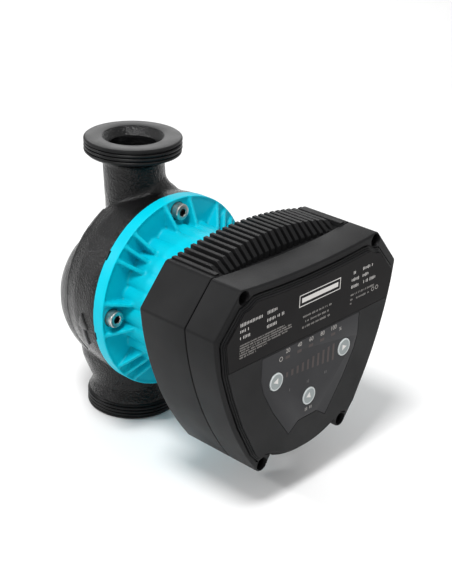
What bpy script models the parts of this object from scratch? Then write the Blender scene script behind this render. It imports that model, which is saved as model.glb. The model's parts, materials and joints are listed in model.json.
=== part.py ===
"""Wet-rotor circulator pump with an electronic control box, built as separate named parts.

Frame: the origin is the centre of the lower port's sealing face, +Z runs up the port axis and the motor
points forward along -Y. All sizes are in millimetres, and MM turns them into Blender's metres. "Reach" is
the distance in front of the port axis: a reach of 30 is the plane 30 mm in front of it.
"""

import math

import bmesh
import bpy
from mathutils import Matrix, Vector

MM = 0.001

# Ports: two G 2 male pipe threads, 180 mm apart.
PORT_TO_PORT = 180.0
THREAD_RADIUS = 29.8
COLLAR_HEIGHT = 10.0
PORT_MOUTH_RADIUS = 19.0
PASSAGE_RADIUS = 15.5
INNER_PASSAGE_RADIUS = 13.5
NECK_RADIUS = 18.8
SUCTION_NECK_RADIUS = 25.2

# Pump housing, seen along the motor axis.
DRUM_RADIUS = 60.0
SEAM_RADIUS = 54.6
BULGE_RADIUS = 48.0
BULGE_DEPTH = 44.0
BULGE_DROP = 12.5
NECK_LEAN = 4.5
SUCTION_LEAN = 11.0
MATING_REACH = 30.0
CHAMBER_RADIUS = 46.0
CHAMBER_BACK_REACH = 12.0
PLATE_SEAT_RADIUS = 48.3
PLATE_SEAT_REACH = 26.0
EYE_RADIUS = 12.5
EYE_BORE_SETBACK = 20.0
RISING_BORE_DROP = 62.0

# Motor housing.
FLANGE_RADIUS = 60.5
FLANGE_BACK_REACH = 30.3
FLANGE_FACE_REACH = 37.6
FLANGE_RIM_REACH = 39.0
RIM_WIDTH = 2.2
BARREL_VALLEY_RADIUS = 42.8
BARREL_LOBE_HEIGHT = 2.4
BARREL_LOBES = 24
BARREL_BORE_RADIUS = 40.3
BARREL_FRONT_REACH = 87.3
BARREL_END_WALL = 3.0
RIB_THICKNESS = 2.0
RIB_TOP_REACH = 45.5
SCREW_RIB_ANGLE = 10.0
TRIPLE_RIB_ANGLE = 9.0
RIM_NOTCH_ANGLES = (143.5, 192.4, 323.5, 12.4)
RIM_NOTCH_WIDTH = 6.0

# Flange screws: M6 socket caps.
FLANGE_SCREW_CIRCLE = 52.75
SCREW_SEAT_REACH = 36.2

# Control box.
CASE_BACK_REACH = 87.6
CASE_REAR_RIM_REACH = 121.5
CASE_COVER_BACK_REACH = 122.1
CASE_RIM_REACH = 143.3
PLATEAU_REACH = 145.8
CASE_WALL = 3.2
TOP_CENTRE_HEIGHT = 52.0
TOP_CORNER = (58.0, 55.0)
SHOULDER = (77.5, 32.0)
FLANK_MIDDLE = (68.2, -8.4)
FLANK_END = (39.6, -61.9)
LOWER_BOSS = (35.2, -59.9)
UPPER_BOSS = (55.8, 50.2)
BOSS_RADIUS = 4.8
CHIN_RADIUS = 64.0
CHIN_HALF_WIDTH = 25.6
CHIN_NOTCH = (27.4, -56.6)

# Cooling fins along the top of the rear shell.
FIN_COUNT = 20
FIN_PITCH = 5.0
FIN_WIDTH = 2.6
FIN_BEND_REACH = 113.0
FIN_FOOT_REACH = 118.4
FIN_CROWN_HEIGHT = 61.3
FIN_CROWN_RADIUS = 215.0
FIN_FOOT_DROP = 2.5

# Front panel.
PANEL_OUTLINE = ((42.0, 10.2), (42.0, -4.0), (39.5, -12.0), (30.6, -27.5), (16.3, -47.2), (8.2, -41.6))
LABEL_OUTLINE = ((68.3, 11.4), (70.6, 27.5), (70.0, 29.2), (57.6, 43.0), (53.8, 43.6), (47.8, 46.6))
LABEL_TOP_CENTRE = 44.6
PLATEAU_SIDE = ((48.6, 48.9), (54.6, 45.6), (58.8, 44.8), (72.2, 29.6), (72.8, 27.4), (70.2, 9.2),
                (65.0, -6.8), (57.0, -26.8), (44.8, -50.0), (39.2, -56.0), (34.0, -53.6), (28.6, -55.4))
PLATEAU_TOP_CENTRE = 47.2
BUTTONS = {"left": (-29.6, -8.1), "right": (29.6, -8.1), "auto": (0.0, -28.6)}
BUTTON_RADIUS = 5.75
BUTTON_HOLE_RADIUS = 6.1
BUTTON_PROUD = 0.5
BUTTON_TRAVEL = 0.5

# Rotor, stator and bearings.
SHAFT_RADIUS = 3.9
SHAFT_BORE_RADIUS = 4.2
SHAFT_ENDS = (9.5, 81.5)
CORE_ENDS = (44.0, 74.0)
CORE_RADIUS = 40.0
YOKE_RADIUS = 33.0
TOOTH_TIP_RADIUS = 24.2
TOOTH_HALF_WIDTH = 4.0
TOOTH_COUNT = 6
CAN_RADIUS = 23.5
CAN_WALL = 0.7
MAGNET_RADIUS = 22.0
IMPELLER_RADIUS = 40.0
VANE_COUNT = 7

# Boards inside the box and the cable gland under it.
BOARD_REACH = 101.0
BOARD_THICKNESS = 1.6
BOARD_POSTS = ((-46.0, 34.0), (46.0, 34.0), (-30.0, -30.0), (30.0, -30.0))
DISPLAY_BOARD_REACH = 131.0
KEY_TOP_REACH = 136.1
GLAND_X = 20.0
GLAND_REACH = 106.0
GLAND_STEM_RADIUS = 6.0
GLAND_PAD = ((10.0, -66.0, 96.5), (30.0, -56.5, 115.5))

# Screws: head radius and height, shank radius, reach of the head seat, reach of the tip, socket radius
# and socket depth.
FLANGE_SCREW = (5.0, 5.9, 3.0, 36.5, 18.0, 2.9, 3.0)
CASE_SCREW = (2.9, 2.4, 1.4, 91.1, 84.8, 1.3, 1.4)
COVER_SCREW = (3.4, 2.6, 1.9, 128.3, 110.0, 1.5, 1.5)
CASE_SCREW_CIRCLE = 30.0

GAP = 0.3
BIG_STEPS = 40
MIDDLE_STEPS = 32
SMALL_STEPS = 20
HOLE_SIDES = 12

BLACK_CASTING = ((0.012, 0.012, 0.013), 0.55, 0.3)
TURQUOISE_PAINT = ((0.0, 0.52, 0.68), 0.35, 0.1)
CHARCOAL_PLASTIC = ((0.035, 0.035, 0.037), 0.5, 0.0)
LABEL_FILM = ((0.025, 0.024, 0.025), 0.35, 0.0)
PANEL_FILM = ((0.055, 0.055, 0.057), 0.4, 0.0)
BUTTON_GREY = ((0.33, 0.36, 0.36), 0.45, 0.0)
ZINC_STEEL = ((0.62, 0.61, 0.58), 0.3, 0.9)
STAINLESS = ((0.58, 0.58, 0.57), 0.25, 1.0)
LAMINATED_STEEL = ((0.3, 0.3, 0.31), 0.45, 0.8)
COPPER_WIRE = ((0.55, 0.22, 0.08), 0.35, 0.9)
CERAMIC = ((0.82, 0.8, 0.74), 0.3, 0.0)
CARBON = ((0.05, 0.05, 0.052), 0.5, 0.0)
MAGNET_BLACK = ((0.06, 0.06, 0.065), 0.45, 0.2)
BLACK_RUBBER = ((0.015, 0.015, 0.015), 0.7, 0.0)
IMPELLER_PLASTIC = ((0.09, 0.09, 0.09), 0.45, 0.0)
BOARD_GREEN = ((0.02, 0.16, 0.07), 0.45, 0.0)
DARK_PLASTIC = ((0.03, 0.03, 0.035), 0.45, 0.0)
CLEAR_PLASTIC = ((0.75, 0.78, 0.8), 0.15, 0.0)
THERMAL_PAD = ((0.35, 0.45, 0.6), 0.7, 0.0)

PORT_FRAME = Matrix.Translation((0, 0, PORT_TO_PORT / 2 * MM))
AXIS_FRAME = PORT_FRAME @ Matrix.Rotation(math.pi / 2, 4, "X")


# ---- Building tools ----

def clear_scene():
    """Removes whatever the opened file holds."""
    for obj in list(bpy.data.objects):
        bpy.data.objects.remove(obj, do_unlink=True)


def make_collection(name):
    """Adds a collection to the scene."""
    collection = bpy.data.collections.new(name)
    bpy.context.scene.collection.children.link(collection)
    return collection


clear_scene()
PARTS = make_collection("circulator_pump")
CUTTERS = make_collection("cutters")


def add_object(name, mesh, frame):
    """Places a mesh in the world as a part."""
    obj = bpy.data.objects.new(name, mesh)
    PARTS.objects.link(obj)
    obj.matrix_world = frame
    return obj


def finish(obj, look):
    """Gives a part its own Principled material: colour, roughness and metallic value."""
    colour, roughness, metallic = look
    material = bpy.data.materials.new(obj.name)
    material.use_nodes = True
    shader = material.node_tree.nodes["Principled BSDF"]
    shader.inputs["Base Color"].default_value = (*colour, 1.0)
    shader.inputs["Roughness"].default_value = roughness
    shader.inputs["Metallic"].default_value = metallic
    obj.data.materials.clear()
    obj.data.materials.append(material)
    return obj


def boolean(target, tool, operation):
    """Cuts a part with a tool, or joins the tool to it, and files the tool with the cutters."""
    modifier = target.modifiers.new(tool.name, "BOOLEAN")
    modifier.operation = operation
    modifier.solver = "EXACT"
    modifier.object = tool
    if tool.name in PARTS.objects:
        PARTS.objects.unlink(tool)
        CUTTERS.objects.link(tool)
    tool.hide_render = True
    tool.display_type = "WIRE"


def cut(target, *tools):
    """Cuts each tool out of the part."""
    for tool in tools:
        boolean(target, tool, "DIFFERENCE")


def join(target, *tools):
    """Joins each tool to the part."""
    for tool in tools:
        boolean(target, tool, "UNION")


def turned(name, profile, frame=AXIS_FRAME, steps=BIG_STEPS):
    """A solid of revolution about the frame's Z. The profile is (radius, height), outer side downwards."""
    closed = profile[0][0] > 0
    mesh = bpy.data.meshes.new(name)
    edges = [(i, i + 1) for i in range(len(profile) - 1)]
    if closed:
        edges.append((len(profile) - 1, 0))
    mesh.from_pydata([(radius * MM, 0, height * MM) for radius, height in profile], edges, [])
    obj = add_object(name, mesh, frame)
    screw = obj.modifiers.new("Revolve", "SCREW")
    screw.steps = steps
    screw.render_steps = steps
    screw.use_merge_vertices = True
    screw.merge_threshold = 0.00001
    screw.use_smooth_shade = True
    return obj


def ring_profile(inner, outer, low, high):
    """The closed profile of a plain ring."""
    return [(outer, high), (outer, low), (inner, low), (inner, high)]


def plate_mesh(name, outline, low, high, holes=()):
    """A flat outline made solid between two heights, with holes, as a mesh about its own origin."""
    curve = bpy.data.curves.new(name, "CURVE")
    curve.dimensions = "2D"
    curve.fill_mode = "BOTH"
    curve.extrude = (high - low) / 2 * MM
    for loop in (outline, *holes):
        spline = curve.splines.new("POLY")
        spline.points.add(len(loop) - 1)
        for point, (x, y) in zip(spline.points, loop):
            point.co = (x * MM, y * MM, 0, 1)
        spline.use_cyclic_u = True
    holder = bpy.data.objects.new(name, curve)
    PARTS.objects.link(holder)
    graph = bpy.context.evaluated_depsgraph_get()
    mesh = bpy.data.meshes.new_from_object(holder.evaluated_get(graph))
    bpy.data.objects.remove(holder)
    shape = bmesh.new()
    shape.from_mesh(mesh)
    bmesh.ops.remove_doubles(shape, verts=shape.verts, dist=0.00001)
    bmesh.ops.translate(shape, verts=shape.verts, vec=(0, 0, (low + high) / 2 * MM))
    bmesh.ops.recalc_face_normals(shape, faces=shape.faces)
    shape.to_mesh(mesh)
    shape.free()
    return mesh


def plate(name, outline, low, high, holes=(), frame=AXIS_FRAME):
    """A flat outline in the frame's X-Y plane made solid between two heights."""
    return add_object(name, plate_mesh(name, outline, low, high, holes), frame)


def rod(name, radius, low, high, centre=(0, 0), frame=AXIS_FRAME, sides=HOLE_SIDES):
    """A cylinder along the frame's Z between two heights, with its origin on its axis."""
    shape = bmesh.new()
    bmesh.ops.create_cone(shape, cap_ends=True, segments=sides, radius1=radius * MM, radius2=radius * MM,
                          depth=(high - low) * MM)
    mesh = bpy.data.meshes.new(name)
    shape.to_mesh(mesh)
    shape.free()
    middle = Vector((centre[0], centre[1], (low + high) / 2)) * MM
    return add_object(name, mesh, frame @ Matrix.Translation(middle))


def half_ball(name, radii, centre, frame=AXIS_FRAME, rings=14):
    """The back half of a sphere stretched to three radii along the frame's axes, closed by a flat front."""
    shape = bmesh.new()
    bmesh.ops.create_uvsphere(shape, u_segments=2 * rings, v_segments=rings, radius=1.0)
    front = [vertex for vertex in shape.verts if vertex.co.z > 0.01]
    bmesh.ops.delete(shape, geom=front, context="VERTS")
    bmesh.ops.holes_fill(shape, edges=shape.edges, sides=2 * rings)
    bmesh.ops.scale(shape, verts=shape.verts, vec=Vector(radii) * MM)
    mesh = bpy.data.meshes.new(name)
    shape.to_mesh(mesh)
    shape.free()
    return add_object(name, mesh, frame @ Matrix.Translation(Vector(centre) * MM))


def block(name, low, high, frame=AXIS_FRAME, bevel=0.0):
    """A box between two corners of the frame, with its edges rounded by a Bevel."""
    shape = bmesh.new()
    bmesh.ops.create_cube(shape, size=1.0)
    size = Vector(high) - Vector(low)
    bmesh.ops.scale(shape, verts=shape.verts, vec=size * MM)
    mesh = bpy.data.meshes.new(name)
    shape.to_mesh(mesh)
    shape.free()
    middle = (Vector(low) + Vector(high)) / 2 * MM
    obj = add_object(name, mesh, frame @ Matrix.Translation(middle))
    if bevel:
        rounding = obj.modifiers.new("Rounding", "BEVEL")
        rounding.width = bevel * MM
        rounding.segments = 2
    return obj


def copies(name, mesh, frames):
    """One object that holds a copy of a mesh in each frame, as separate closed bodies."""
    shape = bmesh.new()
    for frame in frames:
        before = len(shape.verts)
        shape.from_mesh(mesh)
        shape.verts.ensure_lookup_table()
        bmesh.ops.transform(shape, matrix=frame, verts=shape.verts[before:])
    joined = bpy.data.meshes.new(name)
    shape.to_mesh(joined)
    shape.free()
    return add_object(name, joined, AXIS_FRAME)


# ---- Outlines ----

def circle(radius, count=SMALL_STEPS, centre=(0, 0)):
    """Points round a circle."""
    return [(centre[0] + radius * math.cos(math.tau * i / count),
             centre[1] + radius * math.sin(math.tau * i / count)) for i in range(count)]


def arc(centre, radius, start, end, count):
    """Points along an arc, between two angles in degrees."""
    angles = [math.radians(start + (end - start) * i / count) for i in range(count + 1)]
    return [(centre[0] + radius * math.cos(a), centre[1] + radius * math.sin(a)) for a in angles]


def arc_through(first, middle, last, count):
    """Points along the arc that passes through three points."""
    a, b, c = (Vector((*p, 0)) for p in (first, middle, last))
    u = b - a
    v = c - a
    axis = u.cross(v)
    offset = u.length_squared * v.cross(axis) + v.length_squared * axis.cross(u)
    centre = a + offset / (2 * axis.length_squared)
    start = math.atan2(a.y - centre.y, a.x - centre.x)
    sweep = math.atan2(c.y - centre.y, c.x - centre.x) - start
    radius = (a - centre).length
    return arc((centre.x, centre.y), radius, math.degrees(start), math.degrees(start + sweep), count)


def mirrored(half):
    """Completes a right half, listed from top to bottom, with its mirror image on the left."""
    left = [(-x, y) for x, y in reversed(half) if x > 0.01]
    return half + left


def rounded(points, radius, count=3):
    """Rounds the corners of an open run of points, leaving its two ends as they are."""
    result = [points[0]]
    for before, corner, after in zip(points, points[1:], points[2:]):
        here = Vector(corner)
        to_before = (Vector(before) - here).normalized()
        to_after = (Vector(after) - here).normalized()
        half_angle = to_before.angle(to_after) / 2
        start = here + to_before * (radius / math.tan(half_angle))
        end = here + to_after * (radius / math.tan(half_angle))
        for i in range(count + 1):
            t = i / count
            result.append(tuple(start.lerp(here, t).lerp(here.lerp(end, t), t)))
    result.append(points[-1])
    return result


def case_top(drop=0.0, half_width=TOP_CORNER[0], count=4):
    """The hollow curve of the box's top edge, from the middle towards the corner."""
    rise = TOP_CORNER[1] - TOP_CENTRE_HEIGHT
    xs = [half_width * i / count for i in range(count + 1)]
    return [(x, TOP_CENTRE_HEIGHT - drop + rise * (x / TOP_CORNER[0]) ** 2) for x in xs]


def case_flank():
    """The bowed side of the box, from below the shoulder to the lower boss."""
    return arc_through(SHOULDER, FLANK_MIDDLE, FLANK_END, 9)[1:]


def case_chin():
    """The round bottom edge of the box, from its end to the middle."""
    chin_end = math.degrees(math.asin(CHIN_HALF_WIDTH / CHIN_RADIUS)) - 90
    return arc((0, 0), CHIN_RADIUS, chin_end, -90, 3)


def case_outline(notched=True):
    """The control box seen from the front, with or without the notches beside its lower bosses."""
    top = case_top(half_width=TOP_CORNER[0] - 3.0)
    corners = rounded([top[-1], TOP_CORNER, SHOULDER, FLANK_MIDDLE], 3.0)[1:-1]
    boss = arc(LOWER_BOSS, BOSS_RADIUS, -25, -145, 4)
    notch = [CHIN_NOTCH] if notched else []
    return mirrored(top + corners + case_flank()[1:] + boss + notch + case_chin())


def cavity_outline():
    """The space inside the box, one wall thickness in from its sides and clear of the lower bosses."""
    return inset(mirrored(case_top() + [SHOULDER] + case_flank() + case_chin()), CASE_WALL)


def inset(points, distance):
    """Moves every side of a closed outline inwards by a distance."""
    area = sum(a[0] * b[1] - b[0] * a[1] for a, b in zip(points, points[1:] + points[:1]))
    side = 1 if area > 0 else -1
    result = []
    for before, here, after in zip(points[-1:] + points[:-1], points, points[1:] + points[:1]):
        first = (Vector(here) - Vector(before)).normalized()
        second = (Vector(after) - Vector(here)).normalized()
        first_in = Vector((-first.y, first.x)) * side
        second_in = Vector((-second.y, second.x)) * side
        middle = (first_in + second_in).normalized()
        result.append(tuple(Vector(here) + middle * (distance / middle.dot(first_in))))
    return result


def shifted(points, angle):
    """Turns an outline about its origin by an angle in degrees."""
    a = math.radians(angle)
    return [(x * math.cos(a) - y * math.sin(a), x * math.sin(a) + y * math.cos(a)) for x, y in points]


def round_motor_axis(radius, angle):
    """The point at an angle round the motor axis, in the box's X-Z plane."""
    a = math.radians(angle)
    return radius * math.cos(a), radius * math.sin(a)


# ---- Pump housing and its inner parts ----

def pump_housing():
    """The cast volute with its two threaded ports, the passages and the impeller chamber."""
    half = PORT_TO_PORT / 2
    housing = turned("pump_housing", [
        (0, MATING_REACH + 2), (DRUM_RADIUS, MATING_REACH + 2), (DRUM_RADIUS, MATING_REACH - 4),
        (DRUM_RADIUS - 2, 11),
        (SEAM_RADIUS, 0), (SEAM_RADIUS - 5, -4.5), (SEAM_RADIUS - 15, -7), (0, -8)])
    bulge = half_ball("suction_bulge", (BULGE_RADIUS, BULGE_RADIUS, BULGE_DEPTH + 2), (0, -BULGE_DROP, 2))

    collar_foot = half - COLLAR_HEIGHT
    discharge_collar = turned("discharge_collar", [
        (0, half), (THREAD_RADIUS - 1.2, half), (THREAD_RADIUS, half - 1.2), (THREAD_RADIUS, collar_foot),
        (NECK_RADIUS + 2.5, collar_foot - 2.4), (NECK_RADIUS - 2.5, collar_foot - 6), (0, collar_foot - 6)],
                              PORT_FRAME, MIDDLE_STEPS)
    neck_frame = PORT_FRAME @ Matrix.Translation((0, 0, collar_foot * MM))
    lean_frame = neck_frame @ Matrix.Rotation(math.radians(-NECK_LEAN), 4, "X")
    discharge_neck = turned("discharge_neck", [
        (0, 2), (NECK_RADIUS, 2), (NECK_RADIUS, 26 - collar_foot), (NECK_RADIUS - 6, 18 - collar_foot),
        (0, 16 - collar_foot)], lean_frame, MIDDLE_STEPS)
    neck_fillet = turned("neck_fillet", [
        (0, 67), (10, 67), (15, 60.5), (19.5, 56.5), (20.5, 53), (20.5, 44), (0, 44)],
                         PORT_FRAME @ Matrix.Translation((3 * MM, -8.5 * MM, 0)), SMALL_STEPS)
    suction_collar = turned("suction_collar", [
        (0, 10 - collar_foot), (SUCTION_NECK_RADIUS - 0.8, 10 - collar_foot),
        (SUCTION_NECK_RADIUS, 7.5 - collar_foot),
        (SUCTION_NECK_RADIUS + 1.4, 4.5 - collar_foot), (THREAD_RADIUS, -collar_foot - 0.5),
        (THREAD_RADIUS, 1.2 - half), (THREAD_RADIUS - 1.2, -half), (0, -half)], PORT_FRAME, MIDDLE_STEPS)
    suction_neck = turned("suction_neck", [
        (0, 42), (26, 40), (30.5, 28), (30.5, 20), (28.2, 11), (26.2, 4.5), (SUCTION_NECK_RADIUS - 0.4, 0),
        (0, -1)],
                          PORT_FRAME @ Matrix.Translation((0, 0, (7 - collar_foot) * MM))
                          @ Matrix.Rotation(math.radians(-SUCTION_LEAN), 4, "X"), MIDDLE_STEPS)
    join(housing, bulge, discharge_collar, discharge_neck, neck_fillet, suction_collar, suction_neck)

    discharge_bore = turned("discharge_bore", [
        (0, half + 5), (PORT_MOUTH_RADIUS + 5, half + 5), (PORT_MOUTH_RADIUS, half),
        (PASSAGE_RADIUS, half - 6), (PASSAGE_RADIUS, 70), (INNER_PASSAGE_RADIUS, 63), (0, 63)],
                            PORT_FRAME, SMALL_STEPS)
    falling_bore = rod("falling_bore", INNER_PASSAGE_RADIUS, 26 - collar_foot, 66 - collar_foot,
                       frame=lean_frame,
                       sides=SMALL_STEPS)
    suction_bore = turned("suction_bore", [
        (0, -58), (INNER_PASSAGE_RADIUS, -58), (PASSAGE_RADIUS, -66), (PASSAGE_RADIUS, 6 - half),
        (PORT_MOUTH_RADIUS, -half), (PORT_MOUTH_RADIUS + 5, -half - 5), (0, -half - 5)], PORT_FRAME,
        SMALL_STEPS)
    slant = math.atan2(EYE_BORE_SETBACK, RISING_BORE_DROP)
    slant_length = math.hypot(EYE_BORE_SETBACK, RISING_BORE_DROP)
    slant_frame = (PORT_FRAME @ Matrix.Translation((0, EYE_BORE_SETBACK * MM, 0))
                   @ Matrix.Rotation(-slant, 4, "X"))
    rising_bore = rod("rising_bore", 13.0, -slant_length + 2, 6, sides=SMALL_STEPS, frame=slant_frame)
    eye_bore = rod("eye_bore", EYE_RADIUS, -26, CHAMBER_BACK_REACH + 2, sides=SMALL_STEPS)
    ring_seat = rod("ring_seat", 17.6, 6, CHAMBER_BACK_REACH + 1, sides=SMALL_STEPS)
    chamber = turned("chamber", [
        (0, MATING_REACH + 5), (PLATE_SEAT_RADIUS, MATING_REACH + 5), (PLATE_SEAT_RADIUS, PLATE_SEAT_REACH),
        (CHAMBER_RADIUS, PLATE_SEAT_REACH), (CHAMBER_RADIUS, CHAMBER_BACK_REACH), (0, CHAMBER_BACK_REACH)])
    channel_outline = arc((0, 0), 44, 15, 165, 10) + arc((0, 0), 26, 165, 15, 10)
    collecting_channel = plate("collecting_channel", channel_outline, 3, CHAMBER_BACK_REACH + 3)
    mating_face = rod("mating_face", DRUM_RADIUS + 20, MATING_REACH, MATING_REACH + 20)
    cut(housing, mating_face, discharge_bore, falling_bore, suction_bore, rising_bore, eye_bore, ring_seat,
        chamber,
        collecting_channel)
    for i in range(4):
        cut(housing, rod(f"tapped_hole_{i + 1}", 3.4, 17.2, MATING_REACH + 4,
                         round_motor_axis(FLANGE_SCREW_CIRCLE, 90 * i)))
    finish(housing, BLACK_CASTING)


def hydraulic_parts():
    """The wear ring, gasket and bearing plate that sit inside the pump housing."""
    finish(turned("wear_ring", ring_profile(15.2, 17.2, 6.3, 11.7), steps=SMALL_STEPS), STAINLESS)
    finish(turned("housing_gasket", ring_profile(44.5, 48.0, 28.1, 30.0)), BLACK_RUBBER)
    finish(turned("bearing_plate", [
        (10.5, 36), (10.5, 27.8), (48.0, 27.8), (48.0, 26.3), (SHAFT_RADIUS + 1.2, 26.3),
        (SHAFT_RADIUS + 1.2, 27.4), (8.3, 27.4), (8.3, 36)]), STAINLESS)


def vane_outline():
    """One backward-swept impeller vane, seen along the motor axis."""
    outer_side = []
    inner_side = []
    rows = 4
    for i in range(rows + 1):
        t = i / rows
        radius = 13.5 + (IMPELLER_RADIUS - 1.0 - 13.5) * t
        angle = 55.0 * t ** 0.8
        spread = math.degrees(0.9 / radius)
        outer_side.append(round_motor_axis(radius, angle + spread))
        inner_side.append(round_motor_axis(radius, angle - spread))
    return outer_side + inner_side[::-1]


def impeller():
    """The closed impeller: two shrouds, an inlet neck, a hub and swept vanes."""
    wheel = turned("impeller", [
        (IMPELLER_RADIUS, 24.5), (IMPELLER_RADIUS, 22.5), (9.0, 22.5), (7.5, 14.0),
        (SHAFT_BORE_RADIUS, 14.0),
        (SHAFT_BORE_RADIUS, 24.5)], steps=MIDDLE_STEPS)
    shroud = turned("front_shroud", [
        (IMPELLER_RADIUS, 15.2), (IMPELLER_RADIUS, 13.4), (14.7, 13.4), (14.7, 8.0), (13.0, 8.0),
        (13.0, 15.2)],
                    steps=MIDDLE_STEPS)
    mesh = plate_mesh("vane", vane_outline(), 14.6, 23.2)
    frames = [Matrix.Rotation(math.tau * i / VANE_COUNT, 4, "Z") for i in range(VANE_COUNT)]
    vanes = copies("vanes", mesh, frames)
    join(shroud, vanes)
    join(wheel, shroud)
    finish(wheel, IMPELLER_PLASTIC)
    finish(plate("impeller_nut", circle(6.5, 6), 10.4, 13.7, [circle(SHAFT_BORE_RADIUS)]), ZINC_STEEL)


def rotor_parts():
    """The shaft, the magnet, the thrust washer, the bearings and the can round them."""
    start, end = SHAFT_ENDS
    finish(turned("shaft", [(0, end), (SHAFT_RADIUS - 0.6, end), (SHAFT_RADIUS, end - 0.6),
                            (SHAFT_RADIUS, start),
                            (0, start)], steps=SMALL_STEPS), CERAMIC)
    low, high = CORE_ENDS
    finish(turned("rotor_magnet", [
        (MAGNET_RADIUS - 0.8, high), (MAGNET_RADIUS, high - 0.8), (MAGNET_RADIUS, low),
        (SHAFT_BORE_RADIUS, low), (SHAFT_BORE_RADIUS, high)], steps=MIDDLE_STEPS), MAGNET_BLACK)
    finish(turned("thrust_washer", ring_profile(SHAFT_BORE_RADIUS, 9.0, 36.5, 39.5), steps=SMALL_STEPS),
           CERAMIC)
    finish(turned("front_bearing", ring_profile(SHAFT_BORE_RADIUS, 8.0, 27.7, 36.0), steps=SMALL_STEPS),
           CARBON)
    finish(turned("rear_bearing", ring_profile(SHAFT_BORE_RADIUS, 9.0, 76.3, 81.5), steps=SMALL_STEPS),
           CARBON)
    wall = CAN_WALL
    finish(turned("rotor_can", [
        (0, 83.0), (9.3 + wall, 83.0), (9.3 + wall, 75.9), (CAN_RADIUS, 75.9), (CAN_RADIUS, 29.3),
        (36, 29.3),
        (36, 28.1), (CAN_RADIUS - wall, 28.1), (CAN_RADIUS - wall, 75.9 - wall), (9.3, 75.9 - wall),
        (9.3, 82.3),
        (0, 82.3)], steps=MIDDLE_STEPS), STAINLESS)


def stator_outlines():
    """The lamination's round outside and the toothed hole inside it."""
    hole = []
    pitch = 360 / TOOTH_COUNT
    for i in range(TOOTH_COUNT):
        tooth = []
        tooth += [(YOKE_RADIUS - 0.6, -TOOTH_HALF_WIDTH), (27.0, -TOOTH_HALF_WIDTH)]
        tooth += [round_motor_axis(26.6, -22)]
        tooth += arc((0, 0), TOOTH_TIP_RADIUS, -22, 22, 6)
        tooth += [round_motor_axis(26.6, 22)]
        tooth += [(27.0, TOOTH_HALF_WIDTH), (YOKE_RADIUS - 0.6, TOOTH_HALF_WIDTH)]
        tooth += arc((0, 0), YOKE_RADIUS, 14, pitch - 14, 4)
        hole += shifted(tooth, i * pitch)
    return circle(CORE_RADIUS, BIG_STEPS), hole


def stator():
    """The laminated core and one copper coil round each tooth."""
    outside, hole = stator_outlines()
    low, high = CORE_ENDS
    finish(plate("stator_core", outside, low, high, [hole]), LAMINATED_STEEL)
    middle = (low + high) / 2
    half_length = (high - low) / 2
    inner_half = TOOTH_HALF_WIDTH + GAP
    outer_half = inner_half + 4.6
    inner_end = half_length + GAP
    outer_end = inner_end + 5.0
    window = [(-inner_half, -inner_end), (inner_half, -inner_end), (inner_half, inner_end),
              (-inner_half, inner_end)]
    turn = 2.5
    outline = (arc((outer_half - turn, outer_end - turn), turn, 0, 90, 3)
               + arc((turn - outer_half, outer_end - turn), turn, 90, 180, 3)
               + arc((turn - outer_half, turn - outer_end), turn, 180, 270, 3)
               + arc((outer_half - turn, turn - outer_end), turn, 270, 360, 3))
    mesh = plate_mesh("stator_coil", outline, 27.4, 31.6, [window])
    for i in range(TOOTH_COUNT):
        tooth_angle = math.tau * i / TOOTH_COUNT
        turn_to_tooth = Matrix.Rotation(tooth_angle + math.pi / 2, 4, "Z")
        frame = (AXIS_FRAME @ Matrix.Translation((0, 0, middle * MM)) @ turn_to_tooth
                 @ Matrix.Rotation(math.pi / 2, 4, "X"))
        finish(add_object(f"stator_coil_{i + 1}", mesh.copy(), frame), COPPER_WIRE)


# ---- Motor housing ----

def barrel_outline():
    """The barrel's ring of soft lengthwise lobes."""
    count = BARREL_LOBES * 3
    points = []
    for i in range(count):
        angle = 360 * i / count
        lobe = abs(math.cos(math.radians(angle * BARREL_LOBES / 2)))
        points.append(round_motor_axis(BARREL_VALLEY_RADIUS + BARREL_LOBE_HEIGHT * lobe ** 0.7, angle))
    return points


def rib_angles():
    """Angles of the flange ribs: one each side of every screw, and three halfway between screws."""
    angles = []
    for quarter in range(4):
        screw = 90 * quarter
        angles += [screw - SCREW_RIB_ANGLE, screw + SCREW_RIB_ANGLE]
        angles += [screw + 45 + TRIPLE_RIB_ANGLE * side for side in (-1, 0, 1)]
    return angles


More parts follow.
